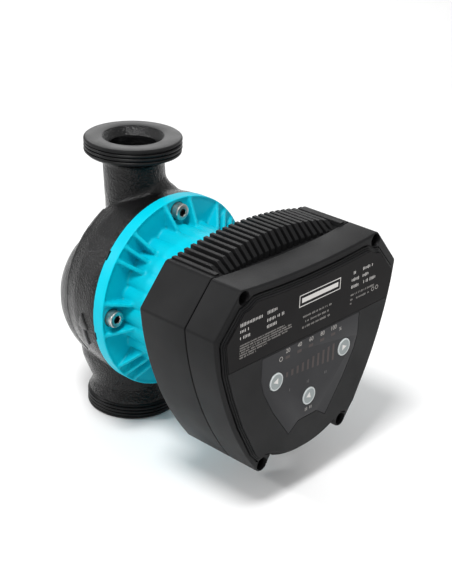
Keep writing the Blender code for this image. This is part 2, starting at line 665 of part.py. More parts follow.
def motor_housing():
    """The painted housing: a ribbed round flange and a lobed barrel, closed at the front."""
    flange = turned("motor_housing", [
        (BARREL_BORE_RADIUS - 2, FLANGE_FACE_REACH), (FLANGE_RADIUS - RIM_WIDTH - 0.6, FLANGE_FACE_REACH),
        (FLANGE_RADIUS - RIM_WIDTH, FLANGE_RIM_REACH), (FLANGE_RADIUS - 0.4, FLANGE_RIM_REACH),
        (FLANGE_RADIUS, FLANGE_RIM_REACH - 0.4), (FLANGE_RADIUS, FLANGE_BACK_REACH),
        (BARREL_BORE_RADIUS - 2, FLANGE_BACK_REACH)])
    barrel = plate("barrel", barrel_outline(), FLANGE_BACK_REACH + 2, BARREL_FRONT_REACH)
    rib = plate_mesh("rib", [(41.5, 36.8), (59.2, 36.8), (59.2, 38.0), (46.5, 44.6), (44.0, RIB_TOP_REACH),
                             (41.5, RIB_TOP_REACH)], -RIB_THICKNESS / 2, RIB_THICKNESS / 2)
    upright = Matrix.Rotation(math.pi / 2, 4, "X")
    frames = [Matrix.Rotation(math.radians(angle), 4, "Z") @ upright for angle in rib_angles()]
    join(flange, barrel, copies("ribs", rib, frames))
    bore = turned("barrel_bore", [
        (0, BARREL_FRONT_REACH - BARREL_END_WALL),
        (BARREL_BORE_RADIUS, BARREL_FRONT_REACH - BARREL_END_WALL),
        (BARREL_BORE_RADIUS, FLANGE_BACK_REACH - 3), (0, FLANGE_BACK_REACH - 3)])
    lead_hole = rod("lead_hole", 12.0, BARREL_FRONT_REACH - BARREL_END_WALL - 2, BARREL_FRONT_REACH + 3)
    cut(flange, bore, lead_hole)
    for i in range(4):
        centre = round_motor_axis(FLANGE_SCREW_CIRCLE, 90 * i)
        cut(flange, rod(f"screw_hole_{i + 1}", 3.4, FLANGE_BACK_REACH - 3, SCREW_SEAT_REACH + 4, centre))
        cut(flange, rod(f"screw_seat_{i + 1}", 5.7, SCREW_SEAT_REACH, SCREW_SEAT_REACH + 9, centre))
        cut(flange, rod(f"case_screw_hole_{i + 1}", 1.7, BARREL_FRONT_REACH - BARREL_END_WALL - 2,
                        BARREL_FRONT_REACH + 2, round_motor_axis(CASE_SCREW_CIRCLE, 45 + 90 * i)))
    for i, angle in enumerate(RIM_NOTCH_ANGLES):
        half = RIM_NOTCH_WIDTH / 2
        frame = AXIS_FRAME @ Matrix.Rotation(math.radians(angle), 4, "Z")
        cut(flange, block(f"rim_notch_{i + 1}", (FLANGE_RADIUS - 1.8, -half, FLANGE_BACK_REACH - 2),
                          (FLANGE_RADIUS + 4, half, FLANGE_BACK_REACH + 1.6), frame))
    finish(flange, TURQUOISE_PAINT)


# ---- Fasteners ----

def screw(name, centre, sizes, steps):
    """A round-headed screw with a six-sided socket, pointing back into the part behind it."""
    head_radius, head_height, shank_radius, seat, tip, socket_radius, socket_depth = sizes
    top = seat + head_height
    frame = AXIS_FRAME @ Matrix.Translation((centre[0] * MM, centre[1] * MM, 0))
    body = turned(name, [
        (0, top), (head_radius - 0.4, top), (head_radius, top - 0.4), (head_radius, seat),
        (shank_radius, seat),
        (shank_radius, tip), (0, tip)], frame, steps)
    cut(body, rod(f"{name}_socket", socket_radius, top - socket_depth, top + 2, centre, sides=6))
    finish(body, ZINC_STEEL)


def fasteners():
    """Four flange screws, four screws inside the box and four cover screws."""
    for i in range(4):
        screw(f"flange_screw_{i + 1}", round_motor_axis(FLANGE_SCREW_CIRCLE, 90 * i), FLANGE_SCREW, 16)
        screw(f"case_screw_{i + 1}", round_motor_axis(CASE_SCREW_CIRCLE, 45 + 90 * i), CASE_SCREW, 10)
    for i, centre in enumerate(boss_centres()):
        screw(f"cover_screw_{i + 1}", centre, COVER_SCREW, 12)


def boss_centres():
    """Where the four cover screws stand."""
    return [(side * x, z) for x, z in (UPPER_BOSS, LOWER_BOSS) for side in (-1, 1)]


# ---- Control box ----

def fin_height(x):
    """Height of the fins' arched top at a distance from the middle."""
    return FIN_CROWN_HEIGHT - FIN_CROWN_RADIUS + math.sqrt(FIN_CROWN_RADIUS ** 2 - x ** 2)


def fin_block():
    """The comb of cooling fins, sloping down at the front."""
    root = 50.2
    valley = 51.0
    first = -FIN_PITCH * (FIN_COUNT - 1) / 2
    outline = [(first - FIN_WIDTH / 2, root)]
    for i in range(FIN_COUNT):
        x = first + FIN_PITCH * i
        left = x - FIN_WIDTH / 2
        right = x + FIN_WIDTH / 2
        if i:
            outline.append((left, valley))
        outline += [(left, fin_height(left)), (right, fin_height(right))]
        if i < FIN_COUNT - 1:
            outline.append((right, valley))
    outline.append((-first + FIN_WIDTH / 2, root))
    fins = plate("fins", outline, CASE_BACK_REACH, FIN_FOOT_REACH)
    half = -first + FIN_PITCH
    bend = [(x, fin_height(x)) for x in (half * i / 6 for i in range(-6, 7))]
    slope_drop = FIN_FOOT_DROP
    wedge = plate("fin_slope", [(-half, 75)] + bend + [(half, 75)], 0, 30)
    tilt = math.atan2(slope_drop, FIN_FOOT_REACH - FIN_BEND_REACH)
    pivot = Vector((0, fin_height(0), FIN_BEND_REACH)) * MM
    wedge.matrix_world = (AXIS_FRAME @ Matrix.Translation(pivot) @ Matrix.Rotation(tilt, 4, "X")
                          @ Matrix.Translation((0, -fin_height(0) * MM, 0)))
    cut(fins, wedge)
    return fins


def rear_shell():
    """The finned rear half of the box, open at the front."""
    outline = case_outline(notched=False)
    shell = plate("rear_shell", outline, CASE_BACK_REACH, CASE_REAR_RIM_REACH)
    cut(shell, plate("rear_cavity", cavity_outline(), CASE_BACK_REACH + CASE_WALL,
                     CASE_REAR_RIM_REACH + 4))
    for i, centre in enumerate(boss_centres()):
        join(shell, rod(f"rear_boss_{i + 1}", BOSS_RADIUS - 0.5, CASE_BACK_REACH + 1,
                        CASE_REAR_RIM_REACH - GAP, centre))
    for i, (x, z) in enumerate(BOARD_POSTS):
        join(shell, rod(f"board_post_{i + 1}", 3.0, CASE_BACK_REACH + 1, BOARD_REACH - GAP, (x, z)))
    join(shell, fin_block())
    low, high = GLAND_PAD
    join(shell, block("gland_pad", low, high))
    cut(shell, plate("gasket_groove", inset(outline, 0.9), CASE_REAR_RIM_REACH - 1.5,
                     CASE_REAR_RIM_REACH + 3,
                     [inset(outline, 2.2)]))
    cut(shell, rod("wire_hole", 13.0, CASE_BACK_REACH - 3, CASE_BACK_REACH + CASE_WALL + 3))
    cut(shell, rod("gland_hole", GLAND_STEM_RADIUS + GAP, -75, -50, (GLAND_X, -GLAND_REACH), PORT_FRAME))
    for i, centre in enumerate(boss_centres()):
        cut(shell, rod(f"boss_hole_{i + 1}", 2.2, 108, CASE_REAR_RIM_REACH + 3, centre))
    for i in range(4):
        cut(shell, rod(f"shell_screw_hole_{i + 1}", 1.7, CASE_BACK_REACH - 2,
                       CASE_BACK_REACH + CASE_WALL + 2,
                       round_motor_axis(CASE_SCREW_CIRCLE, 45 + 90 * i)))
    finish(shell, CHARCOAL_PLASTIC)
    gasket = plate("cover_gasket", inset(outline, 1.2), CASE_REAR_RIM_REACH - 1.2,
                   CASE_REAR_RIM_REACH + 0.3,
                   [inset(outline, 1.9)])
    finish(gasket, BLACK_RUBBER)


def plateau_outline():
    """The raised middle of the cover's front face."""
    top = case_top(TOP_CENTRE_HEIGHT - PLATEAU_TOP_CENTRE, half_width=44.0)
    side = list(PLATEAU_SIDE)
    chin = arc((0, 0), CHIN_RADIUS - 1.4, math.degrees(math.asin(23.0 / (CHIN_RADIUS - 1.4))) - 90, -90, 3)
    return mirrored(top + side + chin)


def label_outline():
    """The rating label, notched round the upper screws."""
    top = case_top(TOP_CENTRE_HEIGHT - LABEL_TOP_CENTRE, half_width=40.0)
    return mirrored(top + list(reversed(LABEL_OUTLINE)))


def panel_outline():
    """The control panel, cut away at the bottom."""
    return mirrored(list(PANEL_OUTLINE))


def front_cover():
    """The front half of the box, with its raised face, recesses, button holes and screw wells."""
    cover = plate("front_cover", case_outline(), CASE_COVER_BACK_REACH, CASE_RIM_REACH)
    cut(cover, plate("cover_cavity", cavity_outline(), CASE_COVER_BACK_REACH - 4,
                     CASE_RIM_REACH - CASE_WALL + 0.2))
    join(cover, plate("plateau", plateau_outline(), CASE_RIM_REACH - 1, PLATEAU_REACH))
    for i, centre in enumerate(boss_centres()):
        join(cover, rod(f"cover_boss_{i + 1}", BOSS_RADIUS - 0.5, CASE_COVER_BACK_REACH + 0.2,
                        CASE_RIM_REACH - 1, centre))
    cut(cover, plate("panel_recess", inset(panel_outline(), -GAP), PLATEAU_REACH - 1.2, PLATEAU_REACH + 3))
    cut(cover, plate("label_recess", inset(label_outline(), -GAP), PLATEAU_REACH - 0.6, PLATEAU_REACH + 3))
    for name, centre in BUTTONS.items():
        cut(cover, rod(f"button_hole_{name}", BUTTON_HOLE_RADIUS, CASE_RIM_REACH - 8, PLATEAU_REACH + 2,
                       centre,
                       sides=SMALL_STEPS))
    cut(cover, block("light_slot", (-24, -1, CASE_RIM_REACH - 8), (24, 6, PLATEAU_REACH + 2)))
    for i, centre in enumerate(boss_centres()):
        cut(cover, rod(f"screw_hole_front_{i + 1}", 2.3, CASE_COVER_BACK_REACH - 2, 130, centre))
        cut(cover, rod(f"screw_well_{i + 1}", 3.8, 128.0, CASE_RIM_REACH + 4, centre))
    finish(cover, CHARCOAL_PLASTIC)


def front_trim():
    """The control panel film, the rating label and the light guide behind the panel."""
    holes = [circle(BUTTON_HOLE_RADIUS, centre=centre) for centre in BUTTONS.values()]
    finish(plate("control_panel", panel_outline(), PLATEAU_REACH - 0.9, PLATEAU_REACH, holes), PANEL_FILM)
    finish(plate("rating_label", label_outline(), PLATEAU_REACH - 0.3, PLATEAU_REACH + 0.1), LABEL_FILM)
    finish(block("light_guide", (-23.6, -0.6, 135.4), (23.6, 5.6, PLATEAU_REACH - 1.2)), CLEAR_PLASTIC)


def buttons():
    """Three push buttons, each a cap, a retaining flange and a stem, on its own axis."""
    wall_inner = CASE_RIM_REACH - CASE_WALL + 0.2
    flange_top = wall_inner - GAP
    cap_top = PLATEAU_REACH + BUTTON_PROUD
    for name, (x, z) in BUTTONS.items():
        frame = AXIS_FRAME @ Matrix.Translation((x * MM, z * MM, 0))
        button = turned(f"button_{name}", [
            (0, cap_top), (BUTTON_RADIUS - 0.4, cap_top), (BUTTON_RADIUS, cap_top - 0.4),
            (BUTTON_RADIUS, flange_top), (7.2, flange_top), (7.2, flange_top - 1.4),
            (2.0, flange_top - 1.4),
            (2.0, KEY_TOP_REACH + BUTTON_TRAVEL + GAP), (0, KEY_TOP_REACH + BUTTON_TRAVEL + GAP)], frame,
            SMALL_STEPS)
        finish(button, BUTTON_GREY)


# ---- Electronics and the cable entry ----

def electronics():
    """The power board with its larger components, and the display board with its keys."""
    front = BOARD_REACH + BOARD_THICKNESS
    parts_base = front + GAP
    board = [(52, 44), (66, 30), (62, 4), (50, -24), (40, -36), (-40, -44), (-50, -24), (-62, 4), (-66, 30),
             (-52, 44)]
    finish(plate("power_board", board, BOARD_REACH, front), BOARD_GREEN)
    finish(turned("bulk_capacitor", [(0, parts_base + 20), (8.5, parts_base + 20), (9.0, parts_base + 19.5),
                                     (9.0, parts_base), (0, parts_base)],
                  AXIS_FRAME @ Matrix.Translation((-48 * MM, 12 * MM, 0)), SMALL_STEPS), DARK_PLASTIC)
    finish(turned("mains_choke", ring_profile(4.5, 11.0, parts_base, parts_base + 12),
                  AXIS_FRAME @ Matrix.Translation((44 * MM, 12 * MM, 0)), SMALL_STEPS), COPPER_WIRE)
    finish(block("mains_relay", (-12, 24, parts_base), (12, 38, parts_base + 14), bevel=0.8), DARK_PLASTIC)
    finish(block("terminal_block", (8, -34, parts_base), (32, -22, parts_base + 12), bevel=0.8),
           CLEAR_PLASTIC)
    finish(block("power_module", (36, -14, 92.7), (58, 14, BOARD_REACH - GAP), bevel=0.6), DARK_PLASTIC)
    finish(block("heat_pad", (37, -13, 91.1), (57, 13, 92.4)), THERMAL_PAD)
    display_front = DISPLAY_BOARD_REACH + BOARD_THICKNESS
    finish(block("display_board", (-38, -40, DISPLAY_BOARD_REACH), (38, 12, display_front)), BOARD_GREEN)
    finish(block("led_strip", (-22, 0.2, display_front + GAP), (22, 4.8, 135.1)), CLEAR_PLASTIC)
    for name, (x, z) in BUTTONS.items():
        finish(block(f"key_switch_{name}", (x - 3, z - 3, display_front + GAP),
                     (x + 3, z + 3, KEY_TOP_REACH)), DARK_PLASTIC)


def cable_entry():
    """The cable gland under the box and its clamping nut, both open for a cable."""
    frame = PORT_FRAME @ Matrix.Translation((GLAND_X * MM, -GLAND_REACH * MM, 0))
    finish(turned("cable_gland", [
        (GLAND_STEM_RADIUS, -53.5), (GLAND_STEM_RADIUS, -66.3), (8.5, -66.3), (8.5, -69.6),
        (5.6, -69.6), (5.6, -74.5), (3.8, -74.5), (3.8, -53.5)], frame, SMALL_STEPS), DARK_PLASTIC)
    finish(turned("gland_nut", [
        (8.2, -69.9), (8.2, -76.5), (7.0, -78.5), (4.2, -79.5), (4.2, -75.2), (5.9, -75.2), (5.9, -69.9)],
                  frame, SMALL_STEPS), DARK_PLASTIC)


pump_housing()
hydraulic_parts()
impeller()
rotor_parts()
stator()
motor_housing()
fasteners()
rear_shell()
front_cover()
front_trim()
buttons()
electronics()
cable_entry()
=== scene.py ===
import json
import logging
import math
from collections.abc import Iterable, Sequence
from dataclasses import dataclass, field
from enum import Enum

import bmesh
import bpy
from mathutils import Matrix, Vector, noise
from mathutils.bvhtree import BVHTree


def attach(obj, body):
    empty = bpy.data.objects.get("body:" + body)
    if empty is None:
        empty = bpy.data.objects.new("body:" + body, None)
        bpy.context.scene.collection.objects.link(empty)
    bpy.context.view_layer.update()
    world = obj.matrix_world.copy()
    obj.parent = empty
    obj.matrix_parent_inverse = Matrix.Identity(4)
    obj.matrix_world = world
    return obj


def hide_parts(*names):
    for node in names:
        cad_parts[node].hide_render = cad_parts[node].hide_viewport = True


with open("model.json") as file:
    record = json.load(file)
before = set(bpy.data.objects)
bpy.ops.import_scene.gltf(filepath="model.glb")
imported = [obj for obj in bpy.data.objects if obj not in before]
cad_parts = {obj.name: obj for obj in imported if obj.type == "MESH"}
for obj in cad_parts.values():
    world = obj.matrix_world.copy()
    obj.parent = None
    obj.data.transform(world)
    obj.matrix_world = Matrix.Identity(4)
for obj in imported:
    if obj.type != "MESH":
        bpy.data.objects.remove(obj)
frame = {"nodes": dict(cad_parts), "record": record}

# A wet-rotor circulator pump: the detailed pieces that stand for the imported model's visible nodes, the
# finishes of every node, and the studio round them. Sizes are in millimetres in the motor frame, where X
# is across, Y is up from the motor axis and Z ("reach") is the distance in front of the port axis.

MM = 0.001
PORT_HALF = 90.0  # from the motor axis to each port's sealing face
SCREW_CIRCLE = 52.75  # radius of the circle of flange screws
UPPER_BOSS = (55.8, 50.2)  # the right-hand pair of the cover's screws
LOWER_BOSS = (35.2, -59.9)
FACE_TOP = 145.8  # reach of the cover's raised face
KEY_PLACES = ((-29.6, -8.1), (29.6, -8.1), (0.0, -28.6))  # left, right and bottom keys
GLAND_X = 20.0
GLAND_REACH = 106.0
FAR = 0.2  # metres, well outside the casting, where rays towards its skin start
PORT_FRAME = Matrix.Translation((0, 0, PORT_HALF * MM))
AXIS_FRAME = PORT_FRAME @ Matrix.Rotation(math.pi / 2, 4, "X")
SHARP_ANGLE = math.radians(32)
MACHINED_ANGLE = math.radians(24)
PAINTED_ANGLE = math.radians(40)
CAST_ANGLE = math.radians(50)
BEVEL_ANGLE = math.radians(38)
GENTLE_BEND = math.radians(165)

Point = tuple[float, float]
Colour = tuple[float, float, float]
log = logging.getLogger("circulator_pump")


class Body(Enum):
    """The rigid bodies that pieces ride on."""

    PUMP = "pump"
    LEFT_KEY = "button_left_key"
    RIGHT_KEY = "button_right_key"
    AUTO_KEY = "button_auto_key"


class Cut(Enum):
    """How a tool meets a target."""

    AWAY = "DIFFERENCE"
    JOIN = "UNION"


class Knob(Enum):
    """Kinds of input that a geometry graph can have."""

    SIZE = "NodeSocketFloat"
    COUNT = "NodeSocketInt"
    SHAPE = "NodeSocketObject"
    FINISH = "NodeSocketMaterial"
    FLAG = "NodeSocketBool"


# ---- Mesh tools ----

def as_mesh(name: str, shape: bmesh.types.BMesh, place: Matrix | None = None) -> bpy.types.Mesh:
    """Turns a working shape into a mesh.

    Args:
        name: The mesh's name.
        shape: The shape, which is freed.
        place: Where the mesh goes, if it isn't in place yet.

    Returns:
        The mesh.
    """
    mesh = bpy.data.meshes.new(name)
    shape.to_mesh(mesh)
    shape.free()
    if place is not None:
        mesh.transform(place)
    return mesh


def outward(shape: bmesh.types.BMesh) -> None:
    """Turns every face of a closed shape to face outwards.

    Args:
        shape: The shape, which is changed.
    """
    bmesh.ops.recalc_face_normals(shape, faces=shape.faces)
    if shape.calc_volume(signed=True) < 0:
        bmesh.ops.reverse_faces(shape, faces=shape.faces)


def turned(profile: Sequence[Point], steps: int = 96, place: Matrix = AXIS_FRAME) -> bpy.types.Mesh:
    """Turns a profile about an axis.

    Args:
        profile: Points of (radius, height), closed round if neither end is on the axis.
        steps: Sides of the circle.
        place: The frame whose Z is the axis.

    Returns:
        A closed mesh.
    """
    shape = bmesh.new()
    rings = []
    for radius, height in profile:
        sides = steps if radius > 0 else 1
        turns = [math.tau * i / steps for i in range(sides)]
        rings.append([shape.verts.new((radius * MM * math.cos(a), radius * MM * math.sin(a), height * MM))
                      for a in turns])
    pairs = list(zip(rings, rings[1:]))
    if profile[0][0] > 0 and profile[-1][0] > 0:
        pairs.append((rings[-1], rings[0]))
    for first, second in pairs:
        for i in range(steps):
            j = (i + 1) % steps
            corners = [first[i % len(first)], first[j % len(first)],
                       second[j % len(second)], second[i % len(second)]]
            corners = list(dict.fromkeys(corners))
            if len(corners) > 2:
                shape.faces.new(corners)
    outward(shape)
    return as_mesh("turned", shape, place)


def loft(sections: Sequence[tuple[Sequence[Point], float]], place: Matrix = AXIS_FRAME) -> bpy.types.Mesh:
    """Skins a run of outlines that have the same number of points.

    Args:
        sections: Pairs of an outline and its height.
        place: The frame that the outlines lie in.

    Returns:
        A closed mesh with flat ends.
    """
    shape = bmesh.new()
    rings = [[shape.verts.new((x * MM, y * MM, height * MM)) for x, y in outline]
             for outline, height in sections]
    for first, second in zip(rings, rings[1:]):
        for i in range(len(first)):
            j = (i + 1) % len(first)
            shape.faces.new((first[i], first[j], second[j], second[i]))
    ends = [shape.faces.new(rings[0]), shape.faces.new(rings[-1])]
    bmesh.ops.triangulate(shape, faces=ends, ngon_method="EAR_CLIP")
    outward(shape)
    return as_mesh("loft", shape, place)


def prism(outline: Sequence[Point], low: float, high: float, place: Matrix = AXIS_FRAME) -> bpy.types.Mesh:
    """A flat outline made solid between two heights."""
    return loft([(outline, low), (outline, high)], place)


def slab(low: Sequence[float], high: Sequence[float], place: Matrix = AXIS_FRAME) -> bpy.types.Mesh:
    """A box between two corners."""
    corners = [(low[0], low[1]), (high[0], low[1]), (high[0], high[1]), (low[0], high[1])]
    return prism(corners, low[2], high[2], place)


def rod(radius: float, low: float, high: float, centre: Point = (0, 0), sides: int = 48,
        place: Matrix = AXIS_FRAME) -> bpy.types.Mesh:
    """A round bar along the frame's Z."""
    middle = place @ Matrix.Translation((centre[0] * MM, centre[1] * MM, 0))
    return turned([(0, high), (radius, high), (radius, low), (0, low)], sides, middle)


def merged(parts: Iterable[bpy.types.Mesh]) -> bpy.types.Mesh:
    """Puts meshes together as they are, each with its own materials.

    Args:
        parts: The meshes.

    Returns:
        One mesh that holds them all.
    """
    shape = bmesh.new()
    materials: list[bpy.types.Material] = []
    for mesh in parts:
        table = []
        for material in mesh.materials:
            if material not in materials:
                materials.append(material)
            table.append(materials.index(material))
        start = len(shape.faces)
        shape.from_mesh(mesh)
        shape.faces.ensure_lookup_table()
        if table and table != list(range(len(table))):
            for face in shape.faces[start:]:
                face.material_index = table[face.material_index]
    result = as_mesh("merged", shape)
    for material in materials:
        result.materials.append(material)
    return result


def worked(mesh: bpy.types.Mesh, *steps: tuple[str, dict]) -> bpy.types.Mesh:
    """Runs modifiers over a mesh and keeps what they make.

    Args:
        mesh: The mesh to start from.
        steps: Pairs of a modifier's type and its settings.

    Returns:
        The finished mesh.
    """
    holder = bpy.data.objects.new("holder", mesh)
    bpy.context.scene.collection.objects.link(holder)
    for kind, settings in steps:
        modifier = holder.modifiers.new(kind.title(), kind)
        for setting, value in settings.items():
            setattr(modifier, setting, value)
    graph = bpy.context.evaluated_depsgraph_get()
    result = bpy.data.meshes.new_from_object(holder.evaluated_get(graph))
    bpy.data.objects.remove(holder)
    return result


def combined(target: bpy.types.Mesh, tools: Sequence[bpy.types.Mesh], how: Cut) -> bpy.types.Mesh:
    """Cuts tools away from a target, or joins them to it.

    Args:
        target: The mesh to change.
        tools: Closed meshes, used in turn.
        how: Whether they are cut away or joined.

    Returns:
        The new mesh.
    """
    holders = []
    for tool in tools:
        holder = bpy.data.objects.new("tool", tool)
        bpy.context.scene.collection.objects.link(holder)
        holders.append(holder)
    steps = [("BOOLEAN", {"operation": how.value, "solver": "EXACT", "object": holder})
             for holder in holders]
    result = worked(target, *steps)
    for holder in holders:
        bpy.data.objects.remove(holder)
    return result


def fused(parts: Sequence[bpy.types.Mesh], voxel: float, smoothing: int) -> bpy.types.Mesh:
    """Melts overlapping closed shapes into one skin with soft inner corners.

    Args:
        parts: The shapes.
        voxel: Grid size in millimetres.
        smoothing: Rounds of smoothing.

    Returns:
        One closed skin.
    """
    return worked(merged(parts), ("REMESH", {"mode": "VOXEL", "voxel_size": voxel * MM}),
                  ("SMOOTH", {"factor": 0.5, "iterations": smoothing}))


def eased(mesh: bpy.types.Mesh, width: float, segments: int = 2) -> bpy.types.Mesh:
    """Rounds the sharp edges of a mesh by a small width in millimetres."""
    return worked(mesh, ("BEVEL", {"width": width * MM, "segments": segments, "limit_method": "ANGLE",
                                   "angle_limit": BEVEL_ANGLE, "miter_outer": "MITER_ARC"}))


def shaded(mesh: bpy.types.Mesh, material: bpy.types.Material,
           angle: float = SHARP_ANGLE) -> bpy.types.Mesh:
    """Smooths a mesh between its sharp edges and gives it one material.

    Args:
        mesh: The mesh, which is changed.
        material: Its finish.
        angle: Edges sharper than this angle, in radians, stay sharp.

    Returns:
        The same mesh.
    """
    mesh.shade_smooth()
    mesh.set_sharp_from_angle(angle=angle)
    mesh.materials.clear()
    mesh.materials.append(material)
    return mesh


def install(name: str, mesh: bpy.types.Mesh, body: Body, slot: str, *nodes: str) -> bpy.types.Object:
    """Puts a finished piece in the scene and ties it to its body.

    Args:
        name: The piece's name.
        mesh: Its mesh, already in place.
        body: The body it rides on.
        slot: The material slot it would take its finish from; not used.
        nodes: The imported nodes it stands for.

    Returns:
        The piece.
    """
    mesh.name = name
    piece = bpy.data.objects.new(name, mesh)
    bpy.context.scene.collection.objects.link(piece)
    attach(piece, body.value)
    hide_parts(*nodes)
    mesh.calc_loop_triangles()
    log.info("%s: %d triangles on %s", name, len(mesh.loop_triangles), body.value)
    return piece


# ---- Outlines ----

def arc(centre: Point, radius: float, start: float, end: float, count: int) -> list[Point]:
    """Points along an arc between two angles in degrees."""
    angles = [math.radians(start + (end - start) * i / count) for i in range(count + 1)]
    return [(centre[0] + radius * math.cos(a), centre[1] + radius * math.sin(a)) for a in angles]


def arc_through(first: Point, middle: Point, last: Point, count: int) -> list[Point]:
    """Points along the arc that passes through three points.

    Args:
        first: Where the arc starts.
        middle: A point on its way.
        last: Where it ends.
        count: Steps along it.

    Returns:
        The points.
    """
    a, b, c = (Vector((*p, 0)) for p in (first, middle, last))
    u = b - a
    v = c - a
    axis = u.cross(v)
    weighted = u.length_squared * v.cross(axis) + v.length_squared * axis.cross(u)
    centre = a + weighted / (2 * axis.length_squared)
    start = math.atan2(a.y - centre.y, a.x - centre.x)
    sweep = math.atan2(c.y - centre.y, c.x - centre.x) - start
    return arc((centre.x, centre.y), (a - centre).length, math.degrees(start), math.degrees(start + sweep),
               count)


def mirrored(half: Sequence[Point]) -> list[Point]:
    """Completes a right half, listed from top to bottom, with its mirror image on the left."""
    return list(half) + [(-x, y) for x, y in reversed(half) if x > 0.01]


def rounded(points: Sequence[Point], radius: float, count: int = 7) -> list[Point]:
    """Rounds the inner corners of an open run of points, leaving its two ends as they are.

    Args:
        points: The run.
        radius: The corners' radius.
        count: Steps round each corner.

    Returns:
        The new run.
    """
    result = [points[0]]
    for before, corner, after in zip(points, points[1:], points[2:]):
        here = Vector(corner)
        to_before = (Vector(before) - here).normalized()
        to_after = (Vector(after) - here).normalized()
        reach = radius / math.tan(to_before.angle(to_after) / 2)
        start = here + to_before * reach
        end = here + to_after * reach
        for i in range(count + 1):
            t = i / count
            result.append(tuple(start.lerp(here, t).lerp(here.lerp(end, t), t)))
    result.append(points[-1])
    return result


def softened(points: Sequence[Point], radius: float, count: int = 4) -> list[Point]:
    """Rounds every real corner of a closed outline and leaves its gentle bends alone.

    Args:
        points: The outline.
        radius: The corners' radius, less where a side is too short for it.
        count: Steps round each corner.

    Returns:
        The new outline.
    """
    points = [Vector(point) for point in points]
    result = []
    for before, here, after in zip(points[-1:] + points[:-1], points, points[1:] + points[:1]):
        to_before = before - here
        to_after = after - here
        bend = to_before.angle(to_after)
        if bend > GENTLE_BEND:
            result.append(tuple(here))
            continue
        reach = min(radius / math.tan(bend / 2), 0.45 * to_before.length, 0.45 * to_after.length)
        start = here + to_before.normalized() * reach
        end = here + to_after.normalized() * reach
        for i in range(count + 1):
            t = i / count
            result.append(tuple(start.lerp(here, t).lerp(here.lerp(end, t), t)))
    return result


def inset(points: Sequence[Point], distance: float) -> list[Point]:
    """Moves every side of a closed outline inwards by a distance.

    Args:
        points: The outline.
        distance: How far in each side moves, or out if below zero.

    Returns:
        The new outline.
    """
    points = list(points)
    area = sum(a[0] * b[1] - b[0] * a[1] for a, b in zip(points, points[1:] + points[:1]))
    side = 1 if area > 0 else -1
    result = []
    for before, here, after in zip(points[-1:] + points[:-1], points, points[1:] + points[:1]):
        first = (Vector(here) - Vector(before)).normalized()
        second = (Vector(after) - Vector(here)).normalized()
        first_in = Vector((-first.y, first.x)) * side
        second_in = Vector((-second.y, second.x)) * side
        middle = (first_in + second_in).normalized()
        result.append(tuple(Vector(here) + middle * (distance / max(middle.dot(first_in), 0.3))))
    return result


def round_axis(radius: float, angle: float) -> Point:
    """The point at an angle in degrees round the motor axis."""
    return radius * math.cos(math.radians(angle)), radius * math.sin(math.radians(angle))


# ---- Geometry graphs ----

class Graph:
    """A geometry node tree with named inputs, which ends in realised, dressed geometry."""

    def __init__(self, name: str) -> None:
        """Starts an empty tree with one geometry output.

        Args:
            name: The tree's name.
        """
        self.tree = bpy.data.node_groups.new(name, "GeometryNodeTree")
        self.tree.interface.new_socket("Geometry", in_out="OUTPUT", socket_type="NodeSocketGeometry")
        self.source = self.tree.nodes.new("NodeGroupInput")

    def knob(self, name: str, kind: Knob) -> bpy.types.NodeSocket:
        """Adds a named input and returns the socket that carries it."""
        self.tree.interface.new_socket(name, in_out="INPUT", socket_type=kind.value)
        return self.source.outputs[name]

    def add(self, kind: str, inputs: dict, **settings: object) -> bpy.types.NodeSocket:
        """Adds a node.

        Args:
            kind: The node's type.
            inputs: Values or sockets for its inputs, by name or number.
            settings: Values for its own properties.

        Returns:
            Its first output.
        """
        node = self.tree.nodes.new(kind)
        for setting, value in settings.items():
            setattr(node, setting, value)
        for key, value in inputs.items():
            if isinstance(value, bpy.types.NodeSocket):
                self.tree.links.new(value, node.inputs[key])
            else:
                node.inputs[key].default_value = value
        return node.outputs[0]

    def sum(self, kind: str, first: object, second: object = 0.0) -> bpy.types.NodeSocket:
        """Adds a Math node with two inputs and returns its result."""
        return self.add("ShaderNodeMath", {0: first, 1: second}, operation=kind)

    def close(self, geometry: bpy.types.NodeSocket) -> "Graph":
        """Realises the geometry, dresses it where asked to and wires it to the output.

        Args:
            geometry: The geometry to finish.

        Returns:
            The graph itself.
        """
        finish = self.knob("Finish", Knob.FINISH)
        dress = self.knob("Dress", Knob.FLAG)
        real = self.add("GeometryNodeRealizeInstances", {0: geometry})
        dressed = self.add("GeometryNodeSetMaterial", {"Geometry": real, "Selection": dress,
                                                       "Material": finish})
        self.tree.links.new(dressed, self.tree.nodes.new("NodeGroupOutput").inputs[0])
        return self

    def grow(self, place: Matrix = AXIS_FRAME, base: bpy.types.Mesh | None = None,
             **sizes: object) -> bpy.types.Mesh:
        """Runs the tree once.

        Args:
            place: Where the result goes.
            base: The mesh it works on, if it needs one.
            sizes: Values for the named inputs, with underscores for spaces. Shapes keep their own
                finishes where no Finish is given.

        Returns:
            A plain mesh in place.
        """
        sizes["Dress"] = "Finish" in sizes
        holder = bpy.data.objects.new("graph", base or bpy.data.meshes.new("empty"))
        bpy.context.scene.collection.objects.link(holder)
        modifier = holder.modifiers.new("Graph", "NODES")
        modifier.node_group = self.tree
        for item in self.tree.interface.items_tree:
            if item.in_out == "INPUT" and item.name.replace(" ", "_") in sizes:
                modifier[item.identifier] = sizes[item.name.replace(" ", "_")]
        depsgraph = bpy.context.evaluated_depsgraph_get()
        mesh = bpy.data.meshes.new_from_object(holder.evaluated_get(depsgraph))
        bpy.data.objects.remove(holder)
        mesh.transform(place)
        return mesh


